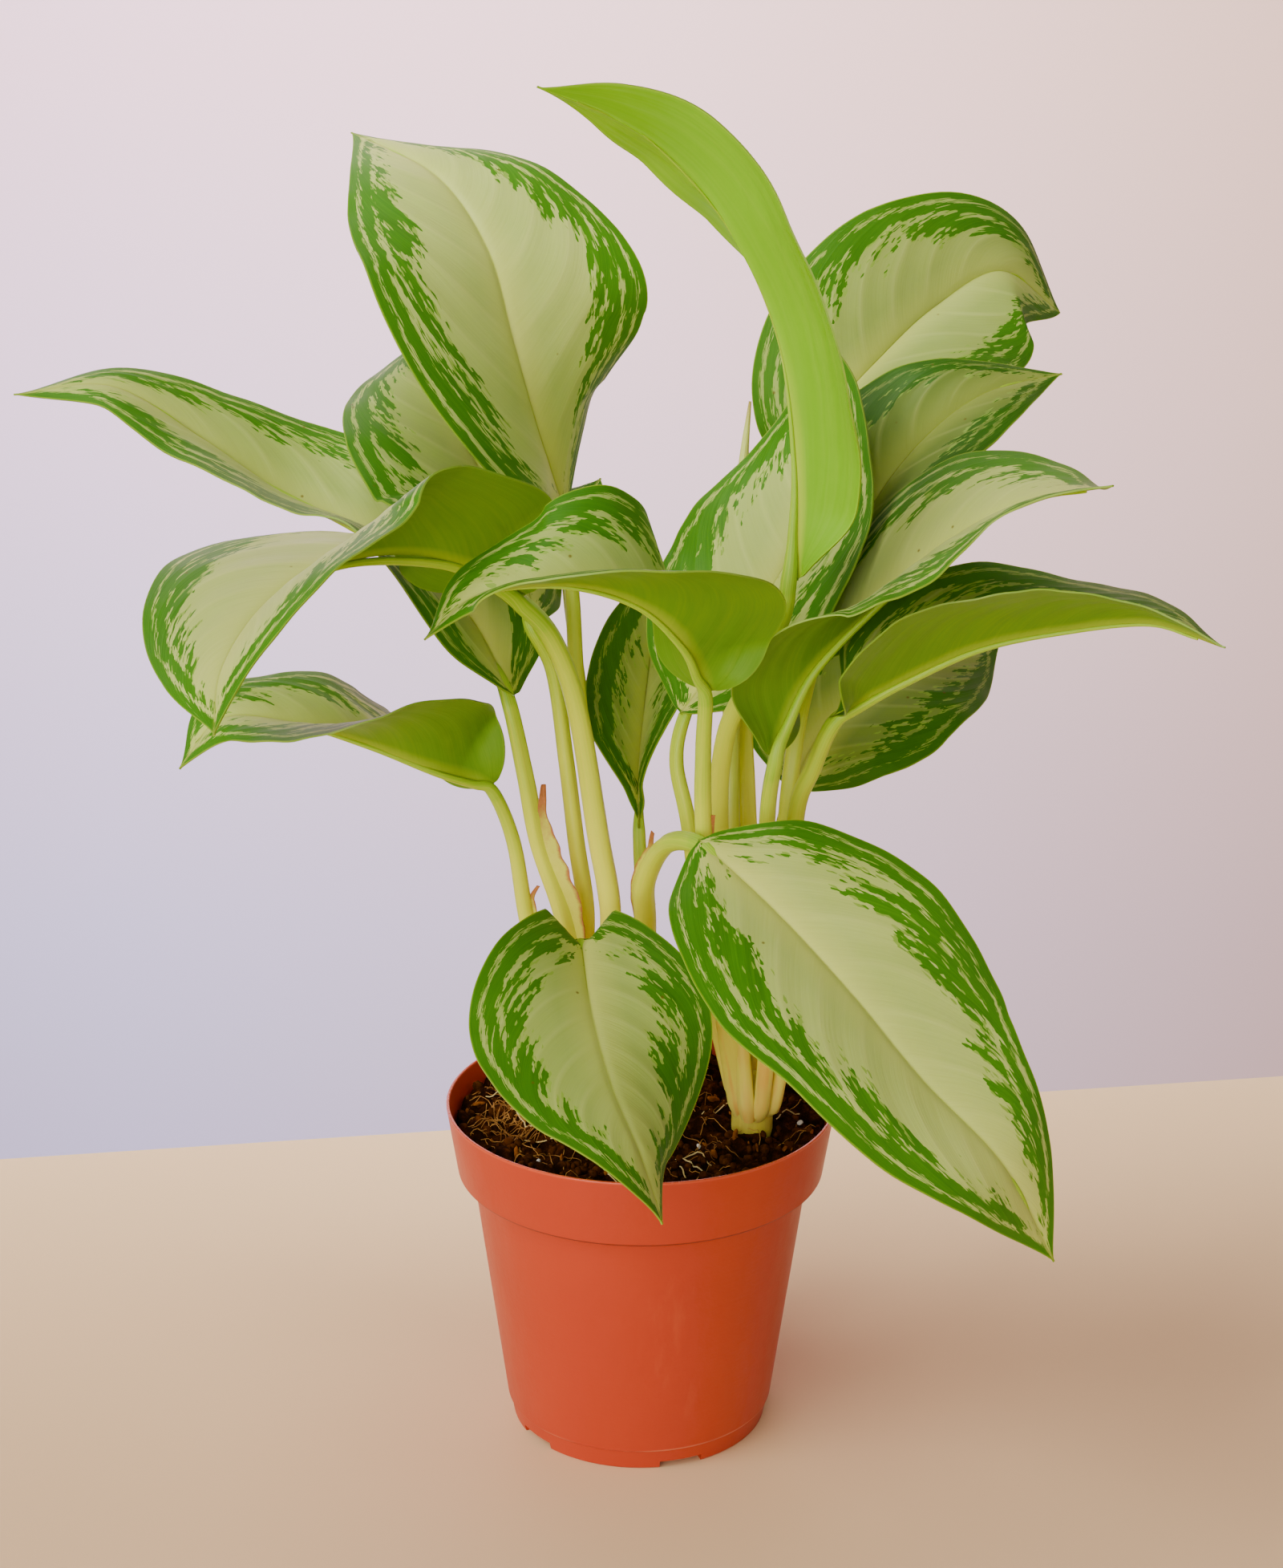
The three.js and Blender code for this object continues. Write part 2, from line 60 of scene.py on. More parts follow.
# ---- the table and the wall ----
# A plain pale table top, whose back edge lies close behind the pot, and a pale wall far
# behind it, whose colour is graded between its four corners as painted light and shade.
# Neither is part of the plant.
TABLE_DEPTH = 2.2
TABLE_WIDTH = 4.4
TABLE_BACK = 0.215
TABLE_TURN = 9.5
WALL_DISTANCE = 1.75


def paint(red, green, blue):
    """The linear colour of a paint given by its red, green and blue on a 0 to 255 scale."""
    def linear(value):
        value /= 255
        return value / 12.92 if value <= 0.04045 else ((value + 0.055) / 1.055) ** 2.4
    return (linear(red), linear(green), linear(blue), 1)


class Finish:
    """A surface finish: one Principled shader, and short ways to add the nodes that feed it."""

    def __init__(self, name, settings):
        self.material = bpy.data.materials.new(name)
        self.material.use_nodes = True
        self.tree = self.material.node_tree
        self.shader = self.tree.nodes["Principled BSDF"]
        self.feed(self.shader, settings)

    def feed(self, node, inputs):
        for name, value in inputs.items():
            if isinstance(value, bpy.types.NodeSocket):
                self.tree.links.new(value, node.inputs[name])
            else:
                node.inputs[name].default_value = value

    def node(self, kind, inputs, output=0, **settings):
        made = self.tree.nodes.new("ShaderNode" + kind)
        for name, value in settings.items():
            setattr(made, name, value)
        self.feed(made, inputs)
        return made.outputs[output]

    def sum(self, operation, a, b=0.0, c=0.0):
        return self.node("Math", {0: a, 1: b, 2: c}, operation=operation)

    def times(self, a, b):
        return self.sum("MULTIPLY", a, b)

    def plus(self, a, b):
        return self.sum("ADD", a, b)

    def place(self, scale=(1, 1, 1)):
        where = self.node("TexCoord", {}, output="Object")
        return self.node("Mapping", {"Vector": where, "Scale": scale})

    def vector(self, x, y, z):
        return self.node("CombineXYZ", {0: x, 1: y, 2: z})

    def split(self, vector):
        made = self.tree.nodes.new("ShaderNodeSeparateXYZ")
        self.tree.links.new(vector, made.inputs[0])
        return made.outputs[0], made.outputs[1], made.outputs[2]

    def attribute(self, name):
        return self.split(self.node("Attribute", {}, output="Vector", attribute_name=name))

    def cloud(self, vector, scale, detail=2.0, rough=0.5):
        settings = {"Vector": vector, "Scale": scale, "Detail": detail, "Roughness": rough}
        return self.node("TexNoise", settings)

    def stretched(self, x, x_scale, y, y_scale, seed, **settings):
        """A noise read at x and y, each with its own scale, so that it is drawn out one way."""
        place = self.vector(self.times(x, x_scale), self.times(y, y_scale), seed)
        return self.cloud(place, 1.0, **settings)

    def ramp(self, value, stops):
        made = self.tree.nodes.new("ShaderNodeValToRGB")
        self.tree.links.new(value, made.inputs[0])
        elements = made.color_ramp.elements
        for k, (position, colour) in enumerate(stops):
            if k > 1:
                elements.new(position)
            elements[k].position = position
            elements[k].color = colour if isinstance(colour, tuple) else (colour,) * 3 + (1,)
        return made.outputs[0]

    def level(self, value, low, high, to_low=0.0, to_high=1.0):
        settings = {"Value": value, "From Min": low, "From Max": high, "To Min": to_low, "To Max": to_high}
        return self.node("MapRange", settings)

    def mix(self, share, a, b, blend="MIX"):
        return self.node("Mix", {0: share, 6: a, 7: b}, output=2, data_type="RGBA", blend_type=blend)

    def relief(self, height, distance, strength=1.0):
        inputs = {"Height": height, "Distance": distance, "Strength": strength}
        self.feed(self.shader, {"Normal": self.node("Bump", inputs)})

    def skin(self, colour, roughness, weight, radius, scale):
        """The colour and gloss, and the share and depth of the light that sinks in."""
        self.feed(self.shader, {
            "Base Color": colour, "Roughness": roughness, "Subsurface Weight": weight,
            "Subsurface Radius": radius, "Subsurface Scale": scale,
        })


def stage_plane(name, width, depth, location, turn, colour):
    bpy.ops.mesh.primitive_plane_add(size=1, location=location, rotation=turn)
    plane = bpy.context.object
    plane.name = name
    plane.scale = (width, depth, 1)
    finish = Finish(name, {"Roughness": 0.75})
    # With four colours, the plane's colour is graded from corner to corner: painted light and shade.
    if len(colour) == 4:
        low_left, low_right, top_left, top_right = colour
        across, _, upward = finish.split(finish.node("NewGeometry", {}, output="Position"))
        right = finish.level(across, -0.5, 0.65)
        top = finish.level(upward, -0.5, 0.3)
        low = finish.mix(right, low_left, low_right)
        high = finish.mix(right, top_left, top_right)
        tone = finish.mix(top, low, high)
    else:
        tone = finish.mix(finish.cloud(finish.place(), 3.0), *colour)
    finish.feed(finish.shader, {"Base Color": tone})
    plane.data.materials.append(finish.material)


turn = math.radians(TABLE_TURN)
table_middle = (
    math.sin(turn) * TABLE_DEPTH / 2,
    TABLE_BACK - math.cos(turn) * TABLE_DEPTH / 2,
    0,
)
stage_plane("table", TABLE_WIDTH, TABLE_DEPTH, table_middle, (0, 0, turn),
            (paint(231, 193, 144), paint(238, 201, 152)))
stage_plane("wall", 12, 8, (0, WALL_DISTANCE, 0), (math.pi / 2, 0, 0),
            (paint(212, 197, 236), paint(212, 174, 172), paint(227, 184, 202), paint(230, 186, 168)))

# ---- the light ----
# A large soft lamp at the upper left in front of the plant, a soft one near the camera, a
# weak one at the right, one behind the plant that is aimed at the wall, and a pale room.
LAMPS = [
    # name, place, aim, size, spread, power, colour
    ("window", (-1.05, -0.75, 1.15), (0, 0, 0.2), 1, 180, 19.5, (1, 0.985, 0.95)),
    ("front_fill", (-0.5, -1.35, 0.4), (0, 0, 0.2), 1.1, 180, 20, (1, 0.98, 0.94)),
    ("room_right", (1.5, -0.6, 0.9), (0, 0, 0.2), 1.4, 180, 0.7, (1, 0.96, 0.93)),
    ("wall_wash", (-0.5, 0.45, 1.3), (0, WALL_DISTANCE, -0.1), 1, 110, 50, (1, 1, 1)),
]

for name, place, aim, size, spread, power, colour in LAMPS:
    direction = Vector(aim) - Vector(place)
    turn = direction.to_track_quat("-Z", "Y").to_euler()
    bpy.ops.object.light_add(type="AREA", location=place, rotation=turn)
    lamp = bpy.context.object
    lamp.name = name
    lamp.data.size = size
    lamp.data.spread = math.radians(spread)
    lamp.data.energy = power
    lamp.data.color = colour

room = bpy.data.worlds.new("room")
room.use_nodes = True
room.node_tree.nodes["Background"].inputs["Color"].default_value = (0.94, 0.94, 1, 1)
room.node_tree.nodes["Background"].inputs["Strength"].default_value = 0.36
bpy.context.scene.world = room

# ---- the nursery pot ----
# A thin-walled pot of terracotta-coloured plastic, moulded in one piece: a tapered body
# with a step above its foot, a collar with a thin lip, and drain holes and channels.
POT_HEIGHT = 0.1055
RIM_RADIUS = 0.06
COLLAR_FOOT_RADIUS = 0.0563
COLLAR_FOOT = POT_HEIGHT - 0.022
BODY_TOP_RADIUS = 0.052
LEDGE_RADIUS = 0.0412
LEDGE_HEIGHT = 0.0065
FOOT_RADIUS = 0.0398
POT_WALL = 0.0014
POT_FLOOR = 0.003
DRAIN_COUNT = 5
DRAIN_START = math.radians(-71)
DRAIN_HOLE_RADIUS = 0.0035
DRAIN_HOLE_CIRCLE = 0.027
DRAIN_CHANNEL = (0.0135, 0.0024)
DRAIN_CHANNEL_INNER = 0.033
MM = 0.001


def draw_profile(name, points):
    """A line of edges through points (radius, height), drawn one vertex after another."""
    bpy.ops.mesh.primitive_plane_add(size=0.01)
    drawn = bpy.context.object
    drawn.name = name
    bpy.ops.object.mode_set(mode="EDIT")
    bpy.ops.mesh.merge(type="CENTER")
    bpy.ops.transform.translate(value=(points[0][0], 0, points[0][1]))
    for (r0, z0), (r1, z1) in zip(points, points[1:]):
        bpy.ops.mesh.extrude_vertices_move(TRANSFORM_OT_translate={"value": (r1 - r0, 0, z1 - z0)})
    return drawn


def turn_profile(steps):
    """Spins the drawn profile about the upright axis into a closed body."""
    bpy.ops.mesh.select_all(action="SELECT")
    bpy.ops.mesh.spin(steps=steps, angle=2 * math.pi, center=(0, 0, 0), axis=(0, 0, 1))
    bpy.ops.mesh.select_all(action="SELECT")
    bpy.ops.mesh.remove_doubles(threshold=1e-6)
    bpy.ops.mesh.normals_make_consistent(inside=False)
    bpy.ops.object.mode_set(mode="OBJECT")


def apply_modifiers(piece):
    bpy.context.view_layer.objects.active = piece
    for modifier in list(piece.modifiers):
        bpy.ops.object.modifier_apply(modifier=modifier.name)


def corner(before, at, after, radius, steps=4):
    """The points of a corner of a profile, rounded with a curve that starts radius away."""
    before, at, after = (Vector(p) for p in (before, at, after))
    start = at + (before - at).normalized() * radius
    end = at + (after - at).normalized() * radius
    points = []
    for k in range(steps + 1):
        f = k / steps
        points.append(tuple(start * (1 - f) ** 2 + at * 2 * f * (1 - f) + end * f ** 2))
    return points


pot_corners = [
    # radius, height, rounding
    (0, 0, 0),
    (FOOT_RADIUS - 0.2 * MM, 0, 0.7 * MM),
    (LEDGE_RADIUS - 0.3 * MM, LEDGE_HEIGHT, 0.3 * MM),
    (LEDGE_RADIUS + 0.3 * MM, LEDGE_HEIGHT + 0.5 * MM, 0.3 * MM),
    (BODY_TOP_RADIUS, COLLAR_FOOT + 1.1 * MM, 0.4 * MM),
    (COLLAR_FOOT_RADIUS - 1.4 * MM, COLLAR_FOOT + 0.5 * MM, 0.4 * MM),
    (COLLAR_FOOT_RADIUS - 0.8 * MM, COLLAR_FOOT - 0.1 * MM, 0.4 * MM),
    (COLLAR_FOOT_RADIUS, COLLAR_FOOT + 0.4 * MM, 0.5 * MM),
    (RIM_RADIUS - 0.3 * MM, POT_HEIGHT, 0.5 * MM),
    (RIM_RADIUS - 1.3 * MM, POT_HEIGHT, 0.4 * MM),
    (COLLAR_FOOT_RADIUS - POT_WALL, COLLAR_FOOT + 2.4 * MM, 1 * MM),
    (BODY_TOP_RADIUS - POT_WALL, COLLAR_FOOT + 1.8 * MM, 0.8 * MM),
    (FOOT_RADIUS - POT_WALL, POT_FLOOR, 1.5 * MM),
    (0, POT_FLOOR, 0),
]
pot_points = [pot_corners[0][:2]]
for before, at, after in zip(pot_corners, pot_corners[1:], pot_corners[2:]):
    pot_points += corner(before[:2], at[:2], after[:2], at[2])
pot_points.append(pot_corners[-1][:2])
pot = draw_profile("nursery_pot", pot_points)
turn_profile(steps=144)

cutters = []
for k in range(DRAIN_COUNT):
    turn = DRAIN_START + k / DRAIN_COUNT * 2 * math.pi
    ahead = Vector((math.cos(turn), math.sin(turn), 0))
    bpy.ops.mesh.primitive_cylinder_add(
        vertices=32, radius=DRAIN_HOLE_RADIUS, depth=3 * POT_FLOOR,
        location=ahead * DRAIN_HOLE_CIRCLE)
    cutters.append(bpy.context.object)
    length = FOOT_RADIUS + 3 * MM - DRAIN_CHANNEL_INNER
    bpy.ops.mesh.primitive_cube_add(
        size=1, location=ahead * (DRAIN_CHANNEL_INNER + length / 2), rotation=(0, 0, turn),
        scale=(length, DRAIN_CHANNEL[0], 2 * DRAIN_CHANNEL[1]))
    cutters.append(bpy.context.object)
bpy.ops.object.select_all(action="DESELECT")
for cutter in cutters:
    cutter.select_set(True)
bpy.context.view_layer.objects.active = cutters[0]
bpy.ops.object.join()
drain = bpy.context.object
cut = pot.modifiers.new("drain", "BOOLEAN")
cut.object = drain
cut.operation = "DIFFERENCE"
cut.solver = "EXACT"
bpy.ops.object.select_all(action="DESELECT")
pot.select_set(True)
apply_modifiers(pot)
bpy.data.objects.remove(drain)
bpy.ops.object.shade_smooth_by_angle(angle=math.radians(32))

plastic = Finish("terracotta_plastic", {"Roughness": 0.42, "Specular IOR Level": 0.45})
where = plastic.place()
_, _, height = plastic.split(where)
patches = plastic.cloud(where, 26, detail=4)
grain = plastic.cloud(where, 900, detail=2)
rings = plastic.cloud(plastic.place((6, 6, 900)), 1.0, detail=3)
scuffs = plastic.cloud(plastic.place((60, 60, 14)), 1.0, detail=5, rough=0.7)
colour = plastic.mix(patches, paint(176, 48, 18), paint(189, 58, 25))
colour = plastic.mix(plastic.level(scuffs, 0.62, 0.8, 0, 0.2), colour, paint(222, 112, 66))
# The top of the lip is painted lighter: a painted highlight. The same mask also makes the lip glossier.
lip = plastic.level(height, POT_HEIGHT - 0.9 * MM, POT_HEIGHT - 0.2 * MM)
colour = plastic.mix(plastic.times(lip, 0.55), colour, paint(226, 96, 56))
# A broken pale line along the ledge's edge: a painted highlight where the edge catches the light.
above_ledge = plastic.sum("ABSOLUTE", plastic.sum("SUBTRACT", height, LEDGE_HEIGHT + 0.4 * MM))
edge_light = plastic.level(above_ledge, 0.5 * MM, 0.2 * MM)
ledge_highlight = plastic.times(edge_light, plastic.level(patches, 0.45, 0.6, 0, 0.6))
colour = plastic.mix(ledge_highlight, colour, paint(232, 150, 108))
# A dark line painted under the collar's foot: painted shade where the collar overhangs the body.
under_collar = plastic.sum("ABSOLUTE", plastic.sum("SUBTRACT", height, COLLAR_FOOT + 0.1 * MM))
collar_shadow = plastic.level(under_collar, 0.8 * MM, 0.35 * MM, 0, 0.8)
colour = plastic.mix(collar_shadow, colour, paint(84, 20, 8))
dull = plastic.level(scuffs, 0.3, 0.8, 0.36, 0.55)
plastic.skin(colour, plastic.sum("MULTIPLY_ADD", lip, -0.16, dull), 0.12, (1, 0.35, 0.15), 0.002)
plastic.relief(plastic.plus(plastic.times(rings, 0.6), grain), 0.00008, 0.5)
pot.data.materials.append(plastic.material)
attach(pot, "root")
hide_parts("pot")

# ---- the potting soil ----
# Dark peat with coir, filled to a little below the rim. Its top is lumpy, with a mound at
# the left, and crumbs, coir fibres, pale roots and perlite lie on it.
SOIL_BELOW_RIM = 0.008
SOIL_CLEAR = POT_WALL + 0.0003
SOIL_RINGS = 60
SOIL_LUMP_MM = 1.6
SOIL_MOUND_MM = 3
MOUND_PLACE_MM = (-38, 5)
MOUND_SPREAD = 500
FIBRE_HEAP = ((-0.034, 0.009), (-0.002, 0.012))
FIBRES_IN_HEAP = 0.45
CANES = {"cane_left": (-0.012, 0.014), "cane_middle": (0.004, 0.022), "cane_right": (0.034, -0.004)}
CANE_RADIUS = 0.0065


def soil_height(x, y):
    x, y = x / MM, y / MM
    lumps = math.sin(0.31 * x + 1.3) * math.cos(0.27 * y) + 0.6 * math.sin(0.55 * (x + y))
    from_mound = (x - MOUND_PLACE_MM[0]) ** 2 + (y - MOUND_PLACE_MM[1]) ** 2
    mound = math.exp(-from_mound / MOUND_SPREAD)
    return POT_HEIGHT - SOIL_BELOW_RIM + (SOIL_LUMP_MM * lumps + SOIL_MOUND_MM * mound) * MM


def rough_soil(x, y):
    """The height of the soil with its fine crumbs."""
    here = Vector((x, y, 0))
    fine = noise.fractal(here * 190, 0.7, 2.1, 5)
    crumbs = noise.noise(here * 620)
    return soil_height(x, y) + fine * 1.3 * MM + crumbs * 0.5 * MM


surface_radius = COLLAR_FOOT_RADIUS + 2.1 * MM - SOIL_CLEAR - 0.2 * MM
soil_top = POT_HEIGHT - SOIL_BELOW_RIM
soil_points = [(surface_radius * k / SOIL_RINGS, soil_top) for k in range(SOIL_RINGS + 1)]
soil_points += [
    (COLLAR_FOOT_RADIUS - SOIL_CLEAR - 0.3 * MM, COLLAR_FOOT + 3.4 * MM),
    (BODY_TOP_RADIUS - SOIL_CLEAR - 0.3 * MM, COLLAR_FOOT + 1.4 * MM),
    (FOOT_RADIUS - SOIL_CLEAR - 0.3 * MM, POT_FLOOR + 0.3 * MM),
    (0, POT_FLOOR + 0.3 * MM),
]
soil = draw_profile("potting_soil", soil_points)
turn_profile(steps=180)
for vertex in soil.data.vertices:
    if vertex.co.z > soil_top - 1 * MM:
        vertex.co.z = rough_soil(vertex.co.x, vertex.co.y)
bpy.ops.object.shade_smooth()

peat = Finish("peat", {"Roughness": 0.95, "Specular IOR Level": 0.03})
where = peat.place()
coarse = peat.cloud(where, 260, detail=6, rough=0.7)
fine = peat.cloud(where, 1500, detail=3)
colour = peat.ramp(coarse, [
    (0.32, paint(14, 6, 1)), (0.5, paint(38, 16, 2)), (0.62, paint(68, 33, 6)), (0.75, paint(116, 66, 20)),
])
peat.feed(peat.shader, {"Base Color": colour})
peat.relief(peat.plus(coarse, peat.times(fine, 0.4)), 0.0009, 0.9)
soil.data.materials.append(peat.material)
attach(soil, "root")
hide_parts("soil")


def on_soil(rng, reach=surface_radius - 1.5 * MM):
    """A place on the soil, at random, clear of the canes."""
    while True:
        x, y = rng.uniform(-reach, reach), rng.uniform(-reach, reach)
        clear = all(math.hypot(x - cx, y - cy) > CANE_RADIUS + 0.5 * MM for cx, cy in CANES.values())
        if math.hypot(x, y) < reach and clear:
            return x, y


def strew(name, count, sizes, colours, seed, squash=(1, 1, 1)):
    """Many small lumps on the soil, each a dented ball, as one piece."""
    rng = random.Random(seed)
    bpy.ops.mesh.primitive_ico_sphere_add(subdivisions=2, radius=1)
    ball = bpy.context.object
    shape = np.array([tuple(v.co) for v in ball.data.vertices])
    faces = np.array([tuple(p.vertices) for p in ball.data.polygons])
    bpy.data.objects.remove(ball)
    points, corners = [], []
    for k in range(count):
        size = rng.uniform(*sizes)
        dents = np.array([1 + 0.35 * noise.noise(Vector(p) * 1.4 + Vector((k, 0, 0))) for p in shape])
        stretch = np.array([rng.uniform(0.7, 1.3) * side for side in squash])
        lump = shape * dents[:, None] * stretch * size
        turn = Euler([rng.uniform(0, 2 * math.pi) for _ in range(3)]).to_matrix()
        x, y = on_soil(rng)
        lump = lump @ np.array(turn).T + (x, y, rough_soil(x, y) + 0.35 * size)
        corners.append(faces + len(shape) * k)
        points.append(lump)
    mesh = bpy.data.meshes.new(name)
    mesh.from_pydata(np.vstack(points), [], np.vstack(corners).tolist())
    piece = bpy.data.objects.new(name, mesh)
    bpy.context.collection.objects.link(piece)
    mesh.shade_smooth()
    finish = Finish(name, {"Roughness": 0.9, "Specular IOR Level": 0.05})
    tone = finish.cloud(finish.place(), 420, detail=4, rough=0.65)
    colour = finish.ramp(tone, [(0.3, paint(*colours[0])), (0.7, paint(*colours[1]))])
    finish.feed(finish.shader, {"Base Color": colour})
    finish.relief(tone, 0.0004, 0.8)
    mesh.materials.append(finish.material)
    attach(piece, "root")


strew("peat_crumbs", 620, (0.5 * MM, 1.6 * MM), [(24, 9, 1), (92, 48, 12)], seed=3)
strew("bark_bits", 60, (0.8 * MM, 2.2 * MM), [(92, 46, 14), (168, 100, 40)], seed=5, squash=(1, 0.5, 0.35))
strew("perlite", 15, (0.5 * MM, 1.1 * MM), [(196, 190, 176), (236, 232, 222)], seed=8)


def strands(name, count, length, radius, wander, colours, seed, reach):
    """Fine fibres that curl over the soil, drawn as curves and turned into one mesh."""
    rng = random.Random(seed)
    drawing = bpy.data.curves.new(name, "CURVE")
    drawing.dimensions = "3D"
    drawing.bevel_depth = radius
    drawing.bevel_resolution = 0
    drawing.use_fill_caps = True
    for k in range(count):
        x, y = on_soil(rng, reach)
        if rng.random() < FIBRES_IN_HEAP:
            x, y = rng.gauss(*FIBRE_HEAP[0]), rng.gauss(*FIBRE_HEAP[1])
            if math.hypot(x, y) > reach:
                continue
        heading = rng.uniform(0, 2 * math.pi)
        steps = 9
        stride = rng.uniform(*length) / steps
        lift = rng.uniform(0.2 * MM, 1.6 * MM)
        spline = drawing.splines.new("POLY")
        places = []
        for step in range(steps + 1):
            if math.hypot(x, y) < reach + 1 * MM:
                arch = lift * math.sin(math.pi * step / steps)
                places.append((x, y, rough_soil(x, y) + radius + arch))
            heading += rng.gauss(0, wander)
            x += stride * math.cos(heading)
            y += stride * math.sin(heading)
        spline.points.add(len(places) - 1)
        for point, place in zip(spline.points, places):
            point.co = (*place, 1)
            point.radius = 1
    piece = bpy.data.objects.new(name, drawing)
    bpy.context.collection.objects.link(piece)
    bpy.ops.object.select_all(action="DESELECT")
    piece.select_set(True)
    bpy.context.view_layer.objects.active = piece
    bpy.ops.object.convert(target="MESH")
    piece = bpy.context.object
    finish = Finish(name, {"Roughness": 0.8, "Specular IOR Level": 0.2})
    tone = finish.cloud(finish.place(), 160, detail=3)
    colour = finish.ramp(tone, [(0.35, paint(*colours[0])), (0.65, paint(*colours[1]))])
    finish.feed(finish.shader, {"Base Color": colour})
    piece.data.materials.append(finish.material)
    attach(piece, "root")


strands("coir_fibres", 330, (4 * MM, 14 * MM), 0.11 * MM, 0.35, [(126, 74, 24), (208, 150, 74)], 11, 0.053)
strands("fine_roots", 15, (9 * MM, 22 * MM), 0.22 * MM, 0.28, [(200, 166, 96), (236, 212, 150)], 12, 0.05)
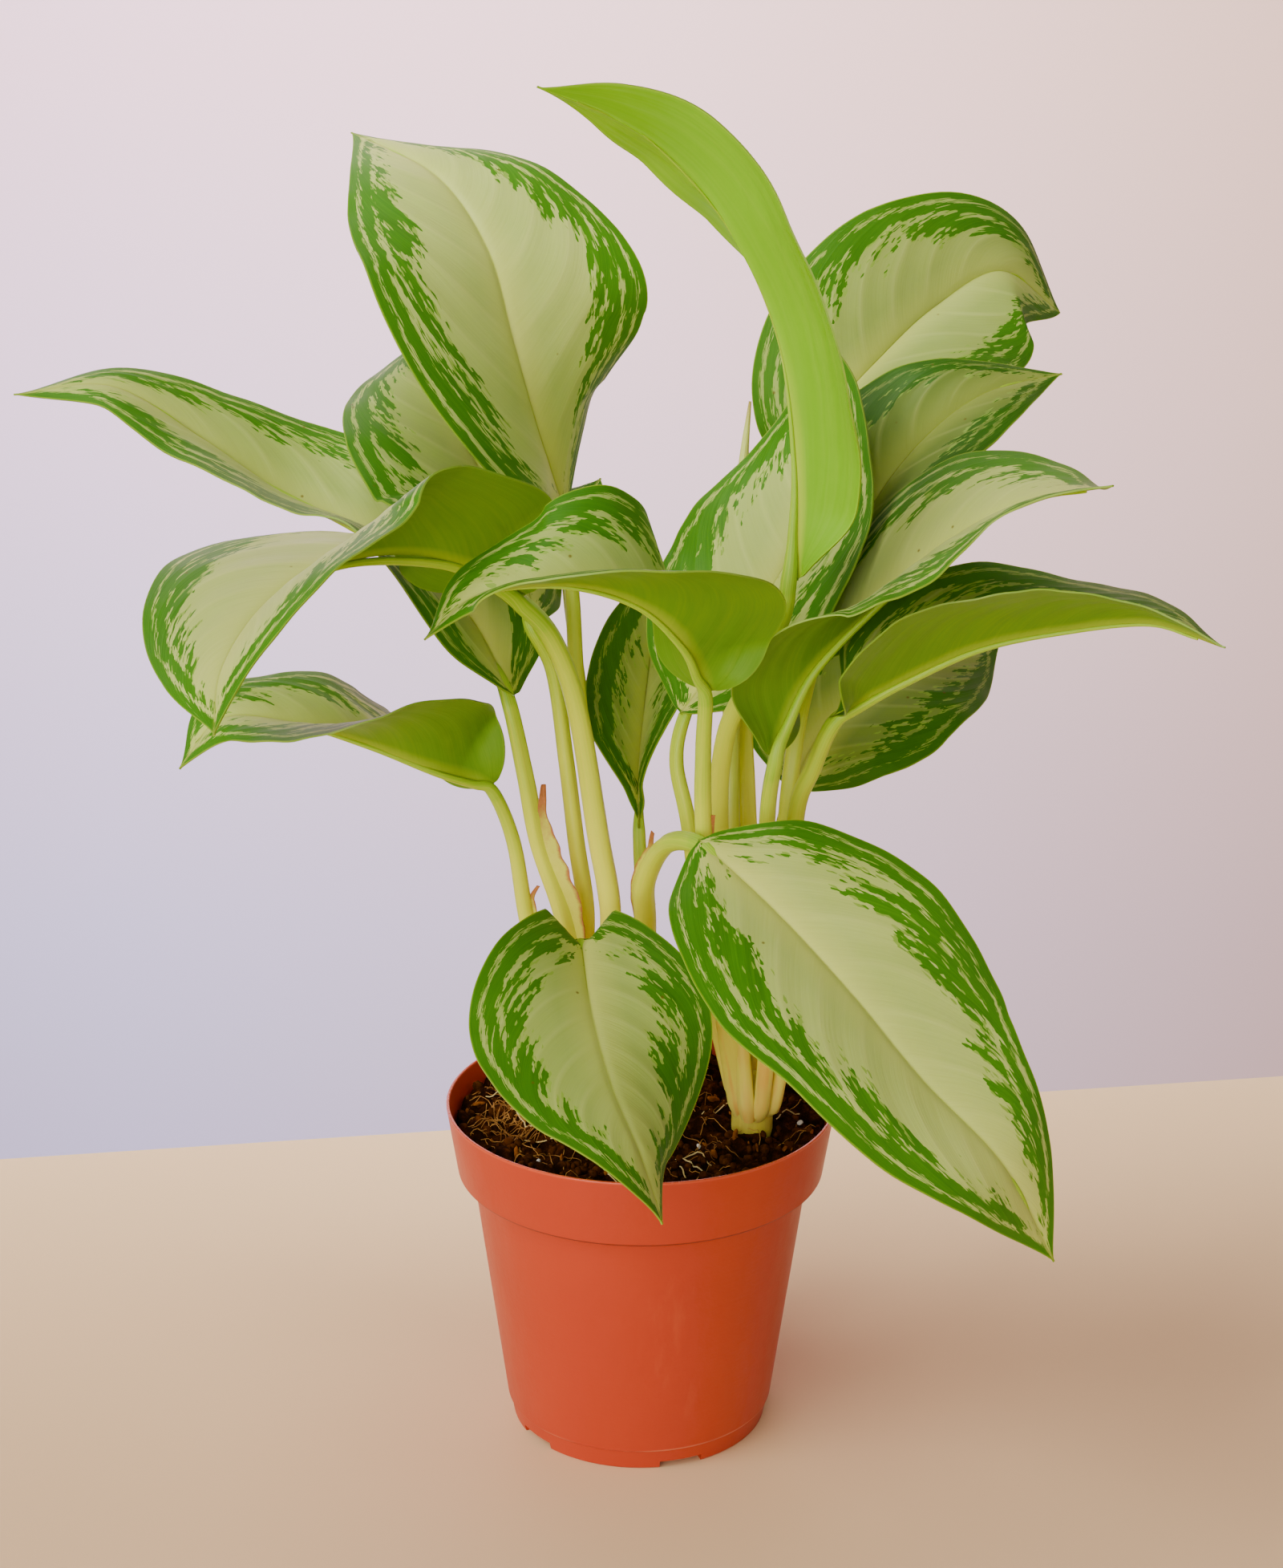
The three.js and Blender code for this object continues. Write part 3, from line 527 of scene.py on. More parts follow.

# ---- the leaf blades ----
# Each blade is one thin sheet, folded along its midrib, waved at its edge and curled down
# from rib to edge. It grows from the top of its stalk. The upper face is silver with dark
# green streaks along the veins and a green margin, and the underside is plain olive.
#
# rib: the midrib from base to tip. face: the way the upper face looks at the base, the
# middle and the tip. left and right: the half-width, then the degrees that this half is
# raised at the base, the middle and the tip. lobe: how far the base swings back past the
# stalk. wave: the edge waves' height, number and start. curl: the degrees that a half
# bends down from rib to edge. roll: places where one half curls more or less, by side, share
# of the length, reach and degrees. neck: the share over which a narrow base widens. open:
# the share over which the base unfolds. tip: how pointed the tip is. stalk: the way from
# the cane to the blade. thick: the stalk's radius at its foot and top. keel: how the stalk
# thins under the blade. dark: how far the dark streaks reach in. tone: how pale the silver
# is, at most 1.
# Lower tone values are partly the duller colour of older leaves and partly painted shade on the leaves at
# the back and right.
LEAVES = {
    "top_left": {
        "rib": [
            (-0.024, 0.045, 0.279), (-0.032, 0.036, 0.307), (-0.039, 0.038, 0.332),
            (-0.047, 0.051, 0.357), (-0.064, 0.076, 0.376), (-0.093, 0.115, 0.385),
        ],
        "face": [(0.9, -0.4, 0.2), (0.3, -0.6, 0.7), (0, -0.2, 1)],
        "left": (0.047, 30, 20, 10), "right": (0.047, 15, 10, 5),
        "lobe": 0.005, "wave": (0.0015, 2.6, 0.1), "roll": [(1, 0.42, 0.12, -18)],
        "stalk": [
            (-0.009, 0.022, 0.106), (-0.009, 0.021, 0.135), (-0.01, 0.022, 0.158),
            (-0.016, 0.029, 0.195), (-0.02, 0.037, 0.227), (-0.022, 0.046, 0.256),
        ],
        "thick": (0.0034, 0.0023), "dark": 0.95,
    },
    "far_left": {
        "rib": [
            (-0.038, 0.005, 0.232), (-0.053, 0.023, 0.253), (-0.08, 0.049, 0.268),
            (-0.109, 0.06, 0.279), (-0.135, 0.062, 0.297), (-0.162, 0.059, 0.314),
            (-0.19, 0.049, 0.313),
        ],
        "face": [(0.8, -0.3, 0.5), (0.3, -0.4, 0.9), (-0.1, -0.5, 0.9)],
        "left": (0.038, -6, 45, -20), "right": (0.037, 30, 25, -15),
        "lobe": 0.008, "wave": (0.0012, 3.1, 0.4),
        "stalk": [
            (-0.02, 0.009, 0.106), (-0.021, 0.008, 0.135), (-0.023, 0.007, 0.16),
            (-0.031, 0.006, 0.186), (-0.035, 0.005, 0.208),
        ],
        "thick": (0.0038, 0.0023), "dark": 0.6, "tone": 0.82,
    },
    "behind_left": {
        "rib": [
            (-0.032, 0.016, 0.252), (-0.037, 0.033, 0.267), (-0.045, 0.047, 0.282),
            (-0.055, 0.059, 0.298), (-0.065, 0.079, 0.313), (-0.07, 0.11, 0.324),
        ],
        "face": [(0.7, -0.6, 0.4), (0.3, -0.4, 0.8), (-0.4, -0.3, 0.9)],
        "left": (0.045, 30, 15, 10), "right": (0.024, 0, 0, 10),
        "lobe": 0.005, "wave": (0.0014, 2.7, 0.7),
        "stalk": [
            (-0.019, 0.017, 0.106), (-0.018, 0.016, 0.135), (-0.017, 0.015, 0.16),
            (-0.02, 0.016, 0.183), (-0.023, 0.018, 0.208), (-0.027, 0.019, 0.236),
        ],
        "thick": (0.0032, 0.0022), "dark": 1.1, "tone": 0.82,
    },
    "drooping_left": {
        "rib": [
            (-0.034, -0.011, 0.267), (-0.051, -0.024, 0.279), (-0.069, -0.032, 0.284),
            (-0.087, -0.046, 0.283), (-0.101, -0.07, 0.278), (-0.108, -0.098, 0.269),
            (-0.107, -0.121, 0.258),
        ],
        "face": [(0.1, 0.4, 0.9), (-0.1, -0.2, 1), (-0.6, -0.2, 0.8)],
        "left": (0.048, 65, 45, 15), "right": (0.047, -5, 10, 15),
        "lobe": 0.007, "wave": (0.0015, 2.8, 0.3),
        "stalk": [
            (-0.013, 0.008, 0.112), (-0.012, 0.005, 0.135), (-0.009, 0.004, 0.163),
            (-0.013, 0.001, 0.191), (-0.019, -0.004, 0.231), (-0.026, -0.008, 0.253),
        ],
        "thick": (0.0043, 0.0029), "dark": 0.8,
    },
    "middle_front": {
        "rib": [
            (0.018, -0.043, 0.248), (0.008, -0.06, 0.27), (-0.008, -0.069, 0.282),
            (-0.026, -0.072, 0.285), (-0.045, -0.069, 0.281), (-0.058, -0.073, 0.27),
        ],
        "face": [(0.4, 0.7, 0.6), (0.4, -0.2, 0.9), (-0.6, -0.3, 0.8)],
        "left": (0.034, 65, 55, 15), "right": (0.035, 20, 40, 0),
        "lobe": 0.009, "wave": (0.001, 2.6, 0.5),
        "stalk": [
            (0.029, -0.009, 0.108), (0.024, -0.015, 0.15), (0.018, -0.026, 0.199),
            (0.017, -0.037, 0.228),
        ],
        "thick": (0.0036, 0.0021), "dark": 1.3, "tone": 0.86,
    },
    "low_left": {
        "rib": [
            (-0.045, 0.01, 0.203), (-0.064, -0.003, 0.213), (-0.083, -0.007, 0.222),
            (-0.102, -0.009, 0.228), (-0.122, -0.012, 0.23), (-0.134, -0.017, 0.216),
        ],
        "face": [(0, 0.7, 0.8), (0.3, 0.1, 0.9), (-0.6, -0.4, 0.7)],
        "left": (0.034, 90, 30, 10), "right": (0.033, 30, 30, 10),
        "lobe": 0.006, "wave": (0.001, 2.9, 0.2),
        "stalk": [
            (-0.022, 0.014, 0.105), (-0.028, 0.014, 0.132), (-0.035, 0.014, 0.158),
            (-0.039, 0.013, 0.184),
        ],
        "thick": (0.0032, 0.002), "dark": 1.2, "tone": 0.88,
    },
    "middle_back": {
        "rib": [
            (-0.001, 0.032, 0.182), (-0.001, 0.044, 0.2), (0.001, 0.059, 0.218),
            (0.004, 0.075, 0.237), (0.009, 0.097, 0.253),
        ],
        "face": [(0, -0.8, 0.6), (-0.1, -0.8, 0.6), (0.2, -0.6, 0.8)],
        "left": (0.022, 70, 45, 10), "right": (0.022, 105, 50, 5),
        "lobe": 0.001, "wave": (0.001, 2.4, 0.6), "neck": 0.25,
        "stalk": [(0.006, 0.03, 0.106), (0.003, 0.033, 0.135), (0, 0.031, 0.165)],
        "thick": (0.0032, 0.002), "dark": 1.4, "tone": 0.72,
    },
    "centre": {
        "rib": [
            (0.011, 0.002, 0.228), (0.026, 0.011, 0.247), (0.041, 0.021, 0.267),
            (0.051, 0.031, 0.289), (0.055, 0.039, 0.314), (0.051, 0.046, 0.337),
        ],
        "face": [(-0.7, -0.5, 0.5), (-0.4, -0.6, 0.6), (-0.8, -0.5, 0.4)],
        "left": (0.039, 25, 15, 5), "right": (0.038, 5, 40, 15),
        "lobe": 0.006, "wave": (0.0013, 2.8, 0.8),
        "stalk": [
            (0.027, -0.001, 0.11), (0.02, -0.002, 0.15), (0.014, -0.001, 0.193),
            (0.01, 0.001, 0.213),
        ],
        "thick": (0.0035, 0.002), "dark": 1.5, "tone": 0.94,
    },
    "tall_plain": {
        "rib": [
            (0.043, -0.025, 0.275), (0.042, -0.022, 0.312), (0.036, -0.023, 0.345),
            (0.023, -0.027, 0.372), (0.008, -0.032, 0.391), (-0.009, -0.041, 0.403),
            (-0.028, -0.052, 0.411),
        ],
        "face": [(0.9, 0.4, 0.1), (0.9, 0.3, -0.3), (-0.1, 0.9, 0.6)],
        "left": (0.031, 40, 41, 34), "right": (0.032, 85, 45, 45),
        "lobe": 0.003, "wave": (0.0008, 2.2, 0.2), "curl": (-14, 60, -10), "keel": (0.5, 0.12, 0.08),
        "stalk": [
            (0.032, -0.012, 0.108), (0.028, -0.009, 0.15), (0.023, -0.008, 0.194),
            (0.024, -0.018, 0.227), (0.032, -0.024, 0.248), (0.039, -0.026, 0.264),
        ],
        "thick": (0.004, 0.0025), "dark": 0,
    },
    "top_right": {
        "rib": [
            (0.049, 0.068, 0.284), (0.06, 0.079, 0.305), (0.074, 0.09, 0.319), (0.092, 0.104, 0.333),
            (0.114, 0.115, 0.343), (0.135, 0.126, 0.328),
        ],
        "face": [(-0.7, -0.5, 0.6), (0.1, -0.8, 0.6), (0.5, -0.5, 0.7)],
        "left": (0.0395, 25, 25, 10), "right": (0.04, 55, 35, 10),
        "lobe": 0.008, "wave": (0.0015, 2.7, 0.5), "tip": 0.9,
        "stalk": [
            (0.034, 0.004, 0.108), (0.033, 0.007, 0.15), (0.031, 0.018, 0.2), (0.03, 0.044, 0.24),
            (0.037, 0.059, 0.265),
        ],
        "thick": (0.0039, 0.0025), "dark": 0.9, "tone": 0.82,
    },
    "right_back": {
        "rib": [
            (0.05, 0.014, 0.241), (0.058, 0.024, 0.262), (0.068, 0.032, 0.284),
            (0.083, 0.038, 0.303), (0.102, 0.045, 0.316), (0.127, 0.061, 0.319),
        ],
        "face": [(-0.2, -0.7, 0.6), (-0.6, -0.6, 0.6), (0.2, -0.5, 0.9)],
        "left": (0.032, 25, 30, 10), "right": (0.032, 60, 30, 5),
        "lobe": 0.007, "wave": (0.0012, 2.9, 0.3),
        "stalk": [
            (0.041, -0.002, 0.108), (0.043, 0, 0.15), (0.043, 0.002, 0.194), (0.046, 0.008, 0.222),
        ],
        "thick": (0.0036, 0.0022), "dark": 0.6, "tone": 0.62,
    },
    "right_middle": {
        "rib": [
            (0.036, -0.024, 0.223), (0.047, -0.021, 0.247), (0.065, -0.019, 0.266),
            (0.083, -0.024, 0.285), (0.103, -0.04, 0.301), (0.123, -0.066, 0.311),
        ],
        "face": [(-0.7, 0.6, 0.3), (-0.7, 0, 0.7), (0.2, 0.4, 0.9)],
        "left": (0.04, 20, 30, 15), "right": (0.038, 50, 20, 0),
        "lobe": 0.005, "wave": (0.0013, 2.7, 0.6),
        "stalk": [(0.037, -0.013, 0.108), (0.038, -0.015, 0.15), (0.036, -0.018, 0.198)],
        "thick": (0.0037, 0.0024), "dark": 1.15, "tone": 0.97,
    },
    "right_front": {
        "rib": [
            (0.054, -0.012, 0.231), (0.074, -0.017, 0.244), (0.095, -0.021, 0.255),
            (0.118, -0.028, 0.262), (0.14, -0.039, 0.267), (0.158, -0.054, 0.264),
        ],
        "face": [(-0.6, -0.4, 0.7), (-0.3, 0, 1), (0.3, 0.1, 0.9)],
        "left": (0.032, 65, 35, 25), "right": (0.032, 75, 55, 35),
        "lobe": 0.004, "wave": (0.001, 2.8, 0.1), "neck": 0.12,
        "stalk": [
            (0.042, -0.008, 0.108), (0.045, -0.007, 0.15), (0.045, -0.006, 0.197),
            (0.05, -0.008, 0.215),
        ],
        "thick": (0.0036, 0.0024), "dark": 1.2, "tone": 0.74,
    },
    "low_right_back": {
        "rib": [
            (0.046, 0.038, 0.193), (0.056, 0.047, 0.209), (0.073, 0.059, 0.22),
            (0.094, 0.074, 0.224), (0.117, 0.097, 0.225),
        ],
        "face": [(-0.2, -0.8, 0.5), (0.1, -0.5, 0.8), (0.4, -0.5, 0.8)],
        "left": (0.032, 20, 10, 10), "right": (0.032, 10, 20, 10),
        "lobe": 0.005, "wave": (0.0012, 2.5, 0.4),
        "stalk": [(0.037, 0.008, 0.106), (0.038, 0.016, 0.14), (0.041, 0.028, 0.171)],
        "thick": (0.0032, 0.0022), "dark": 1.2, "tone": 0.68,
    },
    "front_right": {
        "rib": [
            (0.016, -0.036, 0.202), (0.038, -0.059, 0.188), (0.058, -0.08, 0.172),
            (0.076, -0.098, 0.155), (0.097, -0.107, 0.135), (0.113, -0.101, 0.103),
        ],
        "face": [(-0.1, -0.6, 0.8), (0.3, -0.5, 0.8), (0.5, -0.9, 0.1)],
        "left": (0.042, 25, 20, 10), "right": (0.041, 20, 15, 15),
        "lobe": 0.005, "wave": (0.0013, 3, 0.3),
        "stalk": [
            (0.003, 0.014, 0.108), (0.001, 0.012, 0.135), (0.001, 0.006, 0.161),
            (0.001, -0.004, 0.178), (0.007, -0.02, 0.195),
        ],
        "thick": (0.004, 0.0028), "dark": 1,
    },
    "front_heart": {
        "rib": [
            (-0.018, -0.019, 0.165), (-0.014, -0.052, 0.155), (-0.008, -0.076, 0.143),
            (0, -0.094, 0.131), (0.006, -0.102, 0.114),
        ],
        "face": [(0, -0.3, 1), (0.2, -0.4, 0.9), (0.8, -0.4, 0.5)],
        "left": (0.035, 50, 0, 5), "right": (0.036, 60, 5, 20),
        "lobe": 0.014, "wave": (0.001, 2.6, 0.5), "open": 0.05,
        "stalk": [(-0.012, 0.005, 0.104), (-0.014, -0.004, 0.13), (-0.016, -0.01, 0.15)],
        "thick": (0.0034, 0.0023), "dark": 1.1, "tone": 0.84,
    },
    "small_back": {
        "rib": [
            (-0.024, 0.06, 0.262), (-0.022, 0.075, 0.268), (-0.019, 0.088, 0.273),
            (-0.014, 0.099, 0.278),
        ],
        "face": [(0.2, -0.3, 0.9), (0.1, -0.3, 0.9), (-0.1, -0.3, 0.9)],
        "left": (0.014, 20, 15, 10), "right": (0.014, 20, 10, 10),
        "lobe": 0.002, "wave": (0.0008, 2.2, 0.5),
        "stalk": [
            (-0.004, 0.03, 0.108), (-0.007, 0.034, 0.135), (-0.011, 0.039, 0.157),
            (-0.016, 0.047, 0.195), (-0.022, 0.055, 0.24),
        ],
        "thick": (0.0028, 0.0018), "dark": 1, "tone": 0.8,
    },
}
BLADE_THICKNESS = 0.0005
BASE_POWER = 0.75
TIP_POWER = 1.2
ACROSS_CURL = (25, 25, 25)
LOBE_REACH = 0.3
BASE_REACH = 0.13
EDGE_LEAST = 0.0003
GRID_ACROSS = 60
GRID_ALONG = 112
RIB_CROWDING = 1.3
VEIN_SWEEP = 5
VEIN_START = 1.03
GROOVE_DEPTH = 0.0004
GROOVE_WIDTH = 0.0013
SIDE_VEINS = 9
QUILT_HEIGHT = 0.0002
RIPPLE_HEIGHT_MM = 0.28
RIPPLES_PER_WAVE = 3.3
CELLS_ALONG_EDGE = 104
CELL_LENGTH_MM = 1.7
LEAF_SHEEN = (0.75, 0.85, 0.42, 1)


def through_three(values, s):
    base, middle, tip = values
    return base * (1 - s) * (1 - 2 * s) + middle * 4 * s * (1 - s) + tip * s * (2 * s - 1)


def unit(vectors):
    return vectors / np.linalg.norm(vectors, axis=-1, keepdims=True)


class Path:
    """A smooth path through points, read at shares of its length from 0 to 1."""

    def __init__(self, points, fineness=60):
        points = np.array(points, float)
        first = 2 * points[0] - points[1]
        last = 2 * points[-1] - points[-2]
        knots = np.vstack([first, points, last])
        f = np.linspace(0, 1, fineness, endpoint=False)[:, None]
        stretches = []
        for a, b, c, d in zip(knots, knots[1:], knots[2:], knots[3:]):
            square = (2 * a - 5 * b + 4 * c - d) * f ** 2
            cube = (3 * b - a - 3 * c + d) * f ** 3
            stretches.append(0.5 * (2 * b + (c - a) * f + square + cube))
        self.points = np.vstack(stretches + [points[-1:]])
        steps = np.linalg.norm(np.diff(self.points, axis=0), axis=1)
        self.length = steps.sum()
        self.shares = np.concatenate([[0], np.cumsum(steps)]) / self.length
        self.ways = unit(np.gradient(self.points, self.shares, axis=0))

    def at(self, share):
        return np.stack([np.interp(share, self.shares, self.points[:, k]) for k in range(3)], -1)

    def ahead(self, share):
        return unit(np.stack([np.interp(share, self.shares, self.ways[:, k]) for k in range(3)], -1))


def outline(s, tip_power=TIP_POWER):
    """The half-width as a share of its greatest, at a share s of the length."""
    peak = BASE_POWER / (BASE_POWER + tip_power)
    s = np.clip(s, 0, 1)
    return (s / peak) ** BASE_POWER * ((1 - s) / (1 - peak)) ** tip_power


def blade_up(leaf, rib, s):
    """The way that the blade's upper face looks along its midrib."""
    ahead = rib.ahead(s)
    up = np.stack([through_three([f[k] for f in leaf["face"]], s) for k in range(3)], -1)
    return unit(up - (up * ahead).sum(-1, keepdims=True) * ahead)


def blade_places(leaf, rib, s, t):
    """The blade's points at shares s of its length and t across it, -1 to 1, and its half-widths."""
    ahead = rib.ahead(s)
    up = blade_up(leaf, rib, s)
    side = np.cross(ahead, up) * np.where(t < 0, -1, 1)[:, None]
    out = np.abs(t)
    left, right = leaf["left"], leaf["right"]
    share = outline(s, leaf.get("tip", TIP_POWER))
    neck = np.clip(s / leaf.get("neck", 0.01), 0, 1)
    narrow = neck ** 1.4 * (1.7 - 0.7 * neck)
    width = np.maximum(np.where(t < 0, left[0], right[0]) * share * narrow, EDGE_LEAST)
    raised = np.where(t < 0, through_three(left[1:], s), through_three(right[1:], s))
    opened = np.clip(s / leaf.get("open", BASE_REACH), 0, 1)
    opened = 0.04 + 0.96 * opened ** 2 * (3 - 2 * opened)
    fold = np.radians(raised) * opened
    curl = through_three(leaf.get("curl", ACROSS_CURL), s)
    for half, place, spread, degrees in leaf.get("roll", []):
        curl = curl + np.where(t * half > 0, degrees * np.exp(-(((s - place) / spread) ** 2)), 0)
    curl = np.radians(curl) * opened
    curl = np.where(np.abs(curl) < 1e-3, 1e-3, curl)
    across = width * (np.sin(fold) - np.sin(fold - curl * out)) / curl
    rise = width * (np.cos(fold - curl * out) - np.cos(fold)) / curl
    height, count, start = leaf["wave"]
    turns = count * s + start + np.where(t < 0, 0, 0.37)
    wave = height * share * out ** 2 * np.sin(2 * np.pi * turns)
    rippled = np.sin(2 * np.pi * RIPPLES_PER_WAVE * turns)
    ripple = RIPPLE_HEIGHT_MM * MM * np.minimum(share, 0.6) * out ** 4 * rippled
    swing = leaf["lobe"] * np.maximum(0, 1 - s / LOBE_REACH) ** 2
    back = swing * out ** 1.5 * opened ** 2
    from_rib = width * out
    groove = GROOVE_DEPTH * np.exp(-(from_rib / GROOVE_WIDTH) ** 2) * np.minimum(1, share * 2.5)
    vein = s + np.log(VEIN_START - out) / VEIN_SWEEP
    between_veins = np.cos(2 * np.pi * SIDE_VEINS * vein)
    quilt = QUILT_HEIGHT * np.sin(np.pi * np.minimum(out * 1.1, 1)) * between_veins * share
    lift = rise + wave + ripple + quilt - groove
    places = rib.at(s) + side * across[:, None] + up * lift[:, None] - ahead * back[:, None]
    return places, width


def set_attribute(mesh, name, *columns):
    made = mesh.attributes.new(name, "FLOAT_VECTOR", "POINT")
    made.data.foreach_set("vector", np.stack(np.broadcast_arrays(*columns), -1).astype("f").ravel())


def grid_of(name, across, along):
    """A flat grid from -1 to 1 both ways, with the place of each of its points."""
    bpy.ops.mesh.primitive_grid_add(x_subdivisions=across, y_subdivisions=along, size=2)
    piece = bpy.context.object
    piece.name = name
    flat = np.empty(len(piece.data.vertices) * 3)
    piece.data.vertices.foreach_get("co", flat)
    flat = flat.reshape(-1, 3)
    return piece, flat[:, 0].clip(-1, 1), flat[:, 1].clip(-1, 1)


def move_points(piece, places):
    piece.data.vertices.foreach_set("co", places.astype("f").ravel())
    piece.data.update()


def make_blade(name, leaf, seed, finishes):
    rib = Path(leaf["rib"])
    piece, x, y = grid_of("blade_" + name, GRID_ACROSS, GRID_ALONG)
    t = np.sign(x) * np.abs(x) ** RIB_CROWDING
    s = np.sin(np.pi / 2 * (y + 1) / 2) ** 2
    places, width = blade_places(leaf, rib, s, t)
    move_points(piece, places)

    out = np.abs(t)
    vein = s + np.log(VEIN_START - out) / VEIN_SWEEP
    run = np.hypot(width * out, rib.length * (s - vein))
    to_edge = width * (1 - out)
    to_end = rib.length * np.minimum(s + 0.02, 1.0 - s) * 0.8
    shift = np.where(t < 0, 0.0, 7.0)
    mesh = piece.data
    set_attribute(mesh, "vein", vein + shift, run / MM, seed * 3.7)
    set_attribute(mesh, "margin", np.minimum(to_edge, to_end) / MM, width * out / MM, leaf.get("tone", 1))
    set_attribute(mesh, "leaf", leaf["dark"], s, t)
    for finish in finishes:
        mesh.materials.append(finish.material)
    thickness = piece.modifiers.new("thickness", "SOLIDIFY")
    thickness.thickness = BLADE_THICKNESS
    thickness.offset = 0
    thickness.material_offset = 1
    thickness.material_offset_rim = 2
    apply_modifiers(piece)
    bpy.ops.object.shade_smooth_by_angle(angle=math.radians(60))
    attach(piece, "root")
    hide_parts("leaf_" + name)
    return piece


def silver_finish():
    """The upper face. The vein attribute runs along the veins, which sweep towards the tip."""
    silver = Finish("silver_upper_face", {"Specular IOR Level": 0.3, "Specular Tint": LEAF_SHEEN})
    vein, run, seed = silver.attribute("vein")
    to_edge, from_rib, tone = silver.attribute("margin")
    dark_reach, along, across = silver.attribute("leaf")

    # small cells along the veins give the streaks their ragged, stepped edges
    cell_x = silver.sum("MULTIPLY_ADD", vein, CELLS_ALONG_EDGE, silver.times(seed, 5.1))
    cell_y = silver.times(run, 1 / CELL_LENGTH_MM)
    cells = silver.tree.nodes.new("ShaderNodeTexVoronoi")
    cells.voronoi_dimensions = "2D"
    silver.feed(cells, {"Vector": silver.vector(cell_x, cell_y, 0), "Scale": 1.0, "Randomness": 0.85})
    middle_x, middle_y, _ = silver.split(cells.outputs["Position"])
    chance, other, _ = silver.split(cells.outputs["Color"])
    patches = silver.stretched(middle_x, 0.3, middle_y, 0.12, seed, detail=3, rough=0.62)
    large = silver.stretched(middle_x, 0.06, middle_y, 0.045, seed, detail=1)

    # a green margin, a thin broken silver line inside it, a second band and line, and then
    # streaks that thin out towards the midrib
    side = silver.level(across, -0.02, 0.02, 0, 7)
    wander = silver.cloud(
        silver.vector(silver.sum("MULTIPLY_ADD", along, 11, side), seed, 0), 1.0, detail=4, rough=0.65)
    jump = silver.sum("MULTIPLY_ADD", other, 1.1, -0.55)
    depth = silver.plus(silver.sum("MULTIPLY_ADD", wander, 3.6, -1.8), silver.plus(to_edge, jump))
    inner = silver.sum("DIVIDE", silver.sum("MAXIMUM", silver.sum("SUBTRACT", depth, 5), 0),
                       silver.sum("MAXIMUM", dark_reach, 0.2))
    depth = silver.plus(silver.sum("MINIMUM", depth, 5), inner)
    bands = silver.ramp(silver.sum("DIVIDE", depth, 24), [
        (0, 1.0), (0.105, 0.98), (0.13, 0.38), (0.165, 0.38), (0.19, 0.84), (0.31, 0.8), (0.34, 0.44),
        (0.39, 0.44), (0.42, 0.62), (0.56, 0.58), (0.7, 0.5), (0.86, 0.36), (1, 0.2),
    ])
    share = silver.sum("DIVIDE", to_edge, silver.plus(silver.plus(to_edge, from_rib), 0.01))
    bands = silver.sum("SUBTRACT", bands, silver.level(share, 0.36, 0.8, 0, 0.45))
    spread = silver.sum("MULTIPLY_ADD", patches, 1.7, -0.85)
    wide = silver.sum("MULTIPLY_ADD", large, 0.9, -0.45)
    jitter = silver.sum("MULTIPLY_ADD", chance, 0.22, -0.11)
    level = silver.plus(silver.plus(bands, spread), silver.plus(wide, jitter))
    dark = silver.level(level, 0.5, 0.51)
    halftone = silver.level(level, 0.41, 0.43)

    soft = silver.cloud(silver.place(), 34, detail=3)
    fibres = silver.stretched(vein, 160, run, 0.05, seed, detail=3)
    base = silver.mix(soft, paint(160, 178, 86), paint(190, 202, 112))
    base = silver.mix(silver.level(fibres, 0.35, 0.75, 0, 0.35), base, paint(156, 172, 84))
    # Leaves with a lower tone get a darker, duller silver: partly the colour of older leaves, partly
    # painted shade.
    shaded = silver.level(tone, 0.6, 1, 1, 0)
    base = silver.mix(shaded, base, paint(98, 120, 42))
    sweep = silver.sum("PINGPONG", vein, 0.5 / SIDE_VEINS)
    side_vein = silver.times(silver.level(sweep, 0.014, 0.0), silver.level(from_rib, 1, 8, 0, 0.16))
    base = silver.mix(side_vein, base, paint(214, 218, 132))
    near_rib = silver.times(silver.level(from_rib, 10, 0.5), silver.level(along, 0.1, 0.6, 0.65, 0.25))
    base = silver.mix(near_rib, base, paint(212, 214, 104))
    grey_green = silver.mix(fibres, paint(118, 150, 46), paint(146, 172, 72))
    green = silver.mix(soft, paint(40, 98, 1), paint(64, 126, 4))
    green = silver.mix(silver.level(fibres, 0.4, 0.8, 0, 0.35), green, paint(92, 152, 14))
    colour = silver.mix(silver.times(halftone, silver.level(other, 0.3, 0.34)), base, grey_green)
    # The same darkening for the green: partly the colour of older leaves, partly painted shade.
    green = silver.mix(silver.times(shaded, 0.6), green, paint(26, 70, 1))
    colour = silver.mix(dark, colour, green)

    # a fine darker line down the midrib, a yellow-green rim and a few brown specks
    rib_line = silver.level(from_rib, 0.7, 0.2, 0, 0.4)
    colour = silver.mix(rib_line, colour, paint(150, 162, 44))
    rim = silver.level(to_edge, 0.5, 0.2, 0, 0.6)
    colour = silver.mix(rim, colour, paint(140, 168, 34))
    specks = silver.tree.nodes.new("ShaderNodeTexVoronoi")
    silver.feed(specks, {"Vector": silver.place(), "Scale": 115})
    lucky, _, _ = silver.split(specks.outputs["Color"])
    spot = silver.level(specks.outputs["Distance"], 0.075, 0.03)
    speck = silver.times(spot, silver.level(lucky, 0.5, 0.51))
    colour = silver.mix(silver.times(speck, 0.8), colour, paint(98, 74, 20))

    silver.skin(colour, silver.level(soft, 0.3, 0.7, 0.4, 0.52), 0.45, (0.8, 1, 0.4), 0.0025)
    silver.relief(silver.plus(fibres, silver.times(side_vein, 4)), 0.00016, 0.4)
    return silver


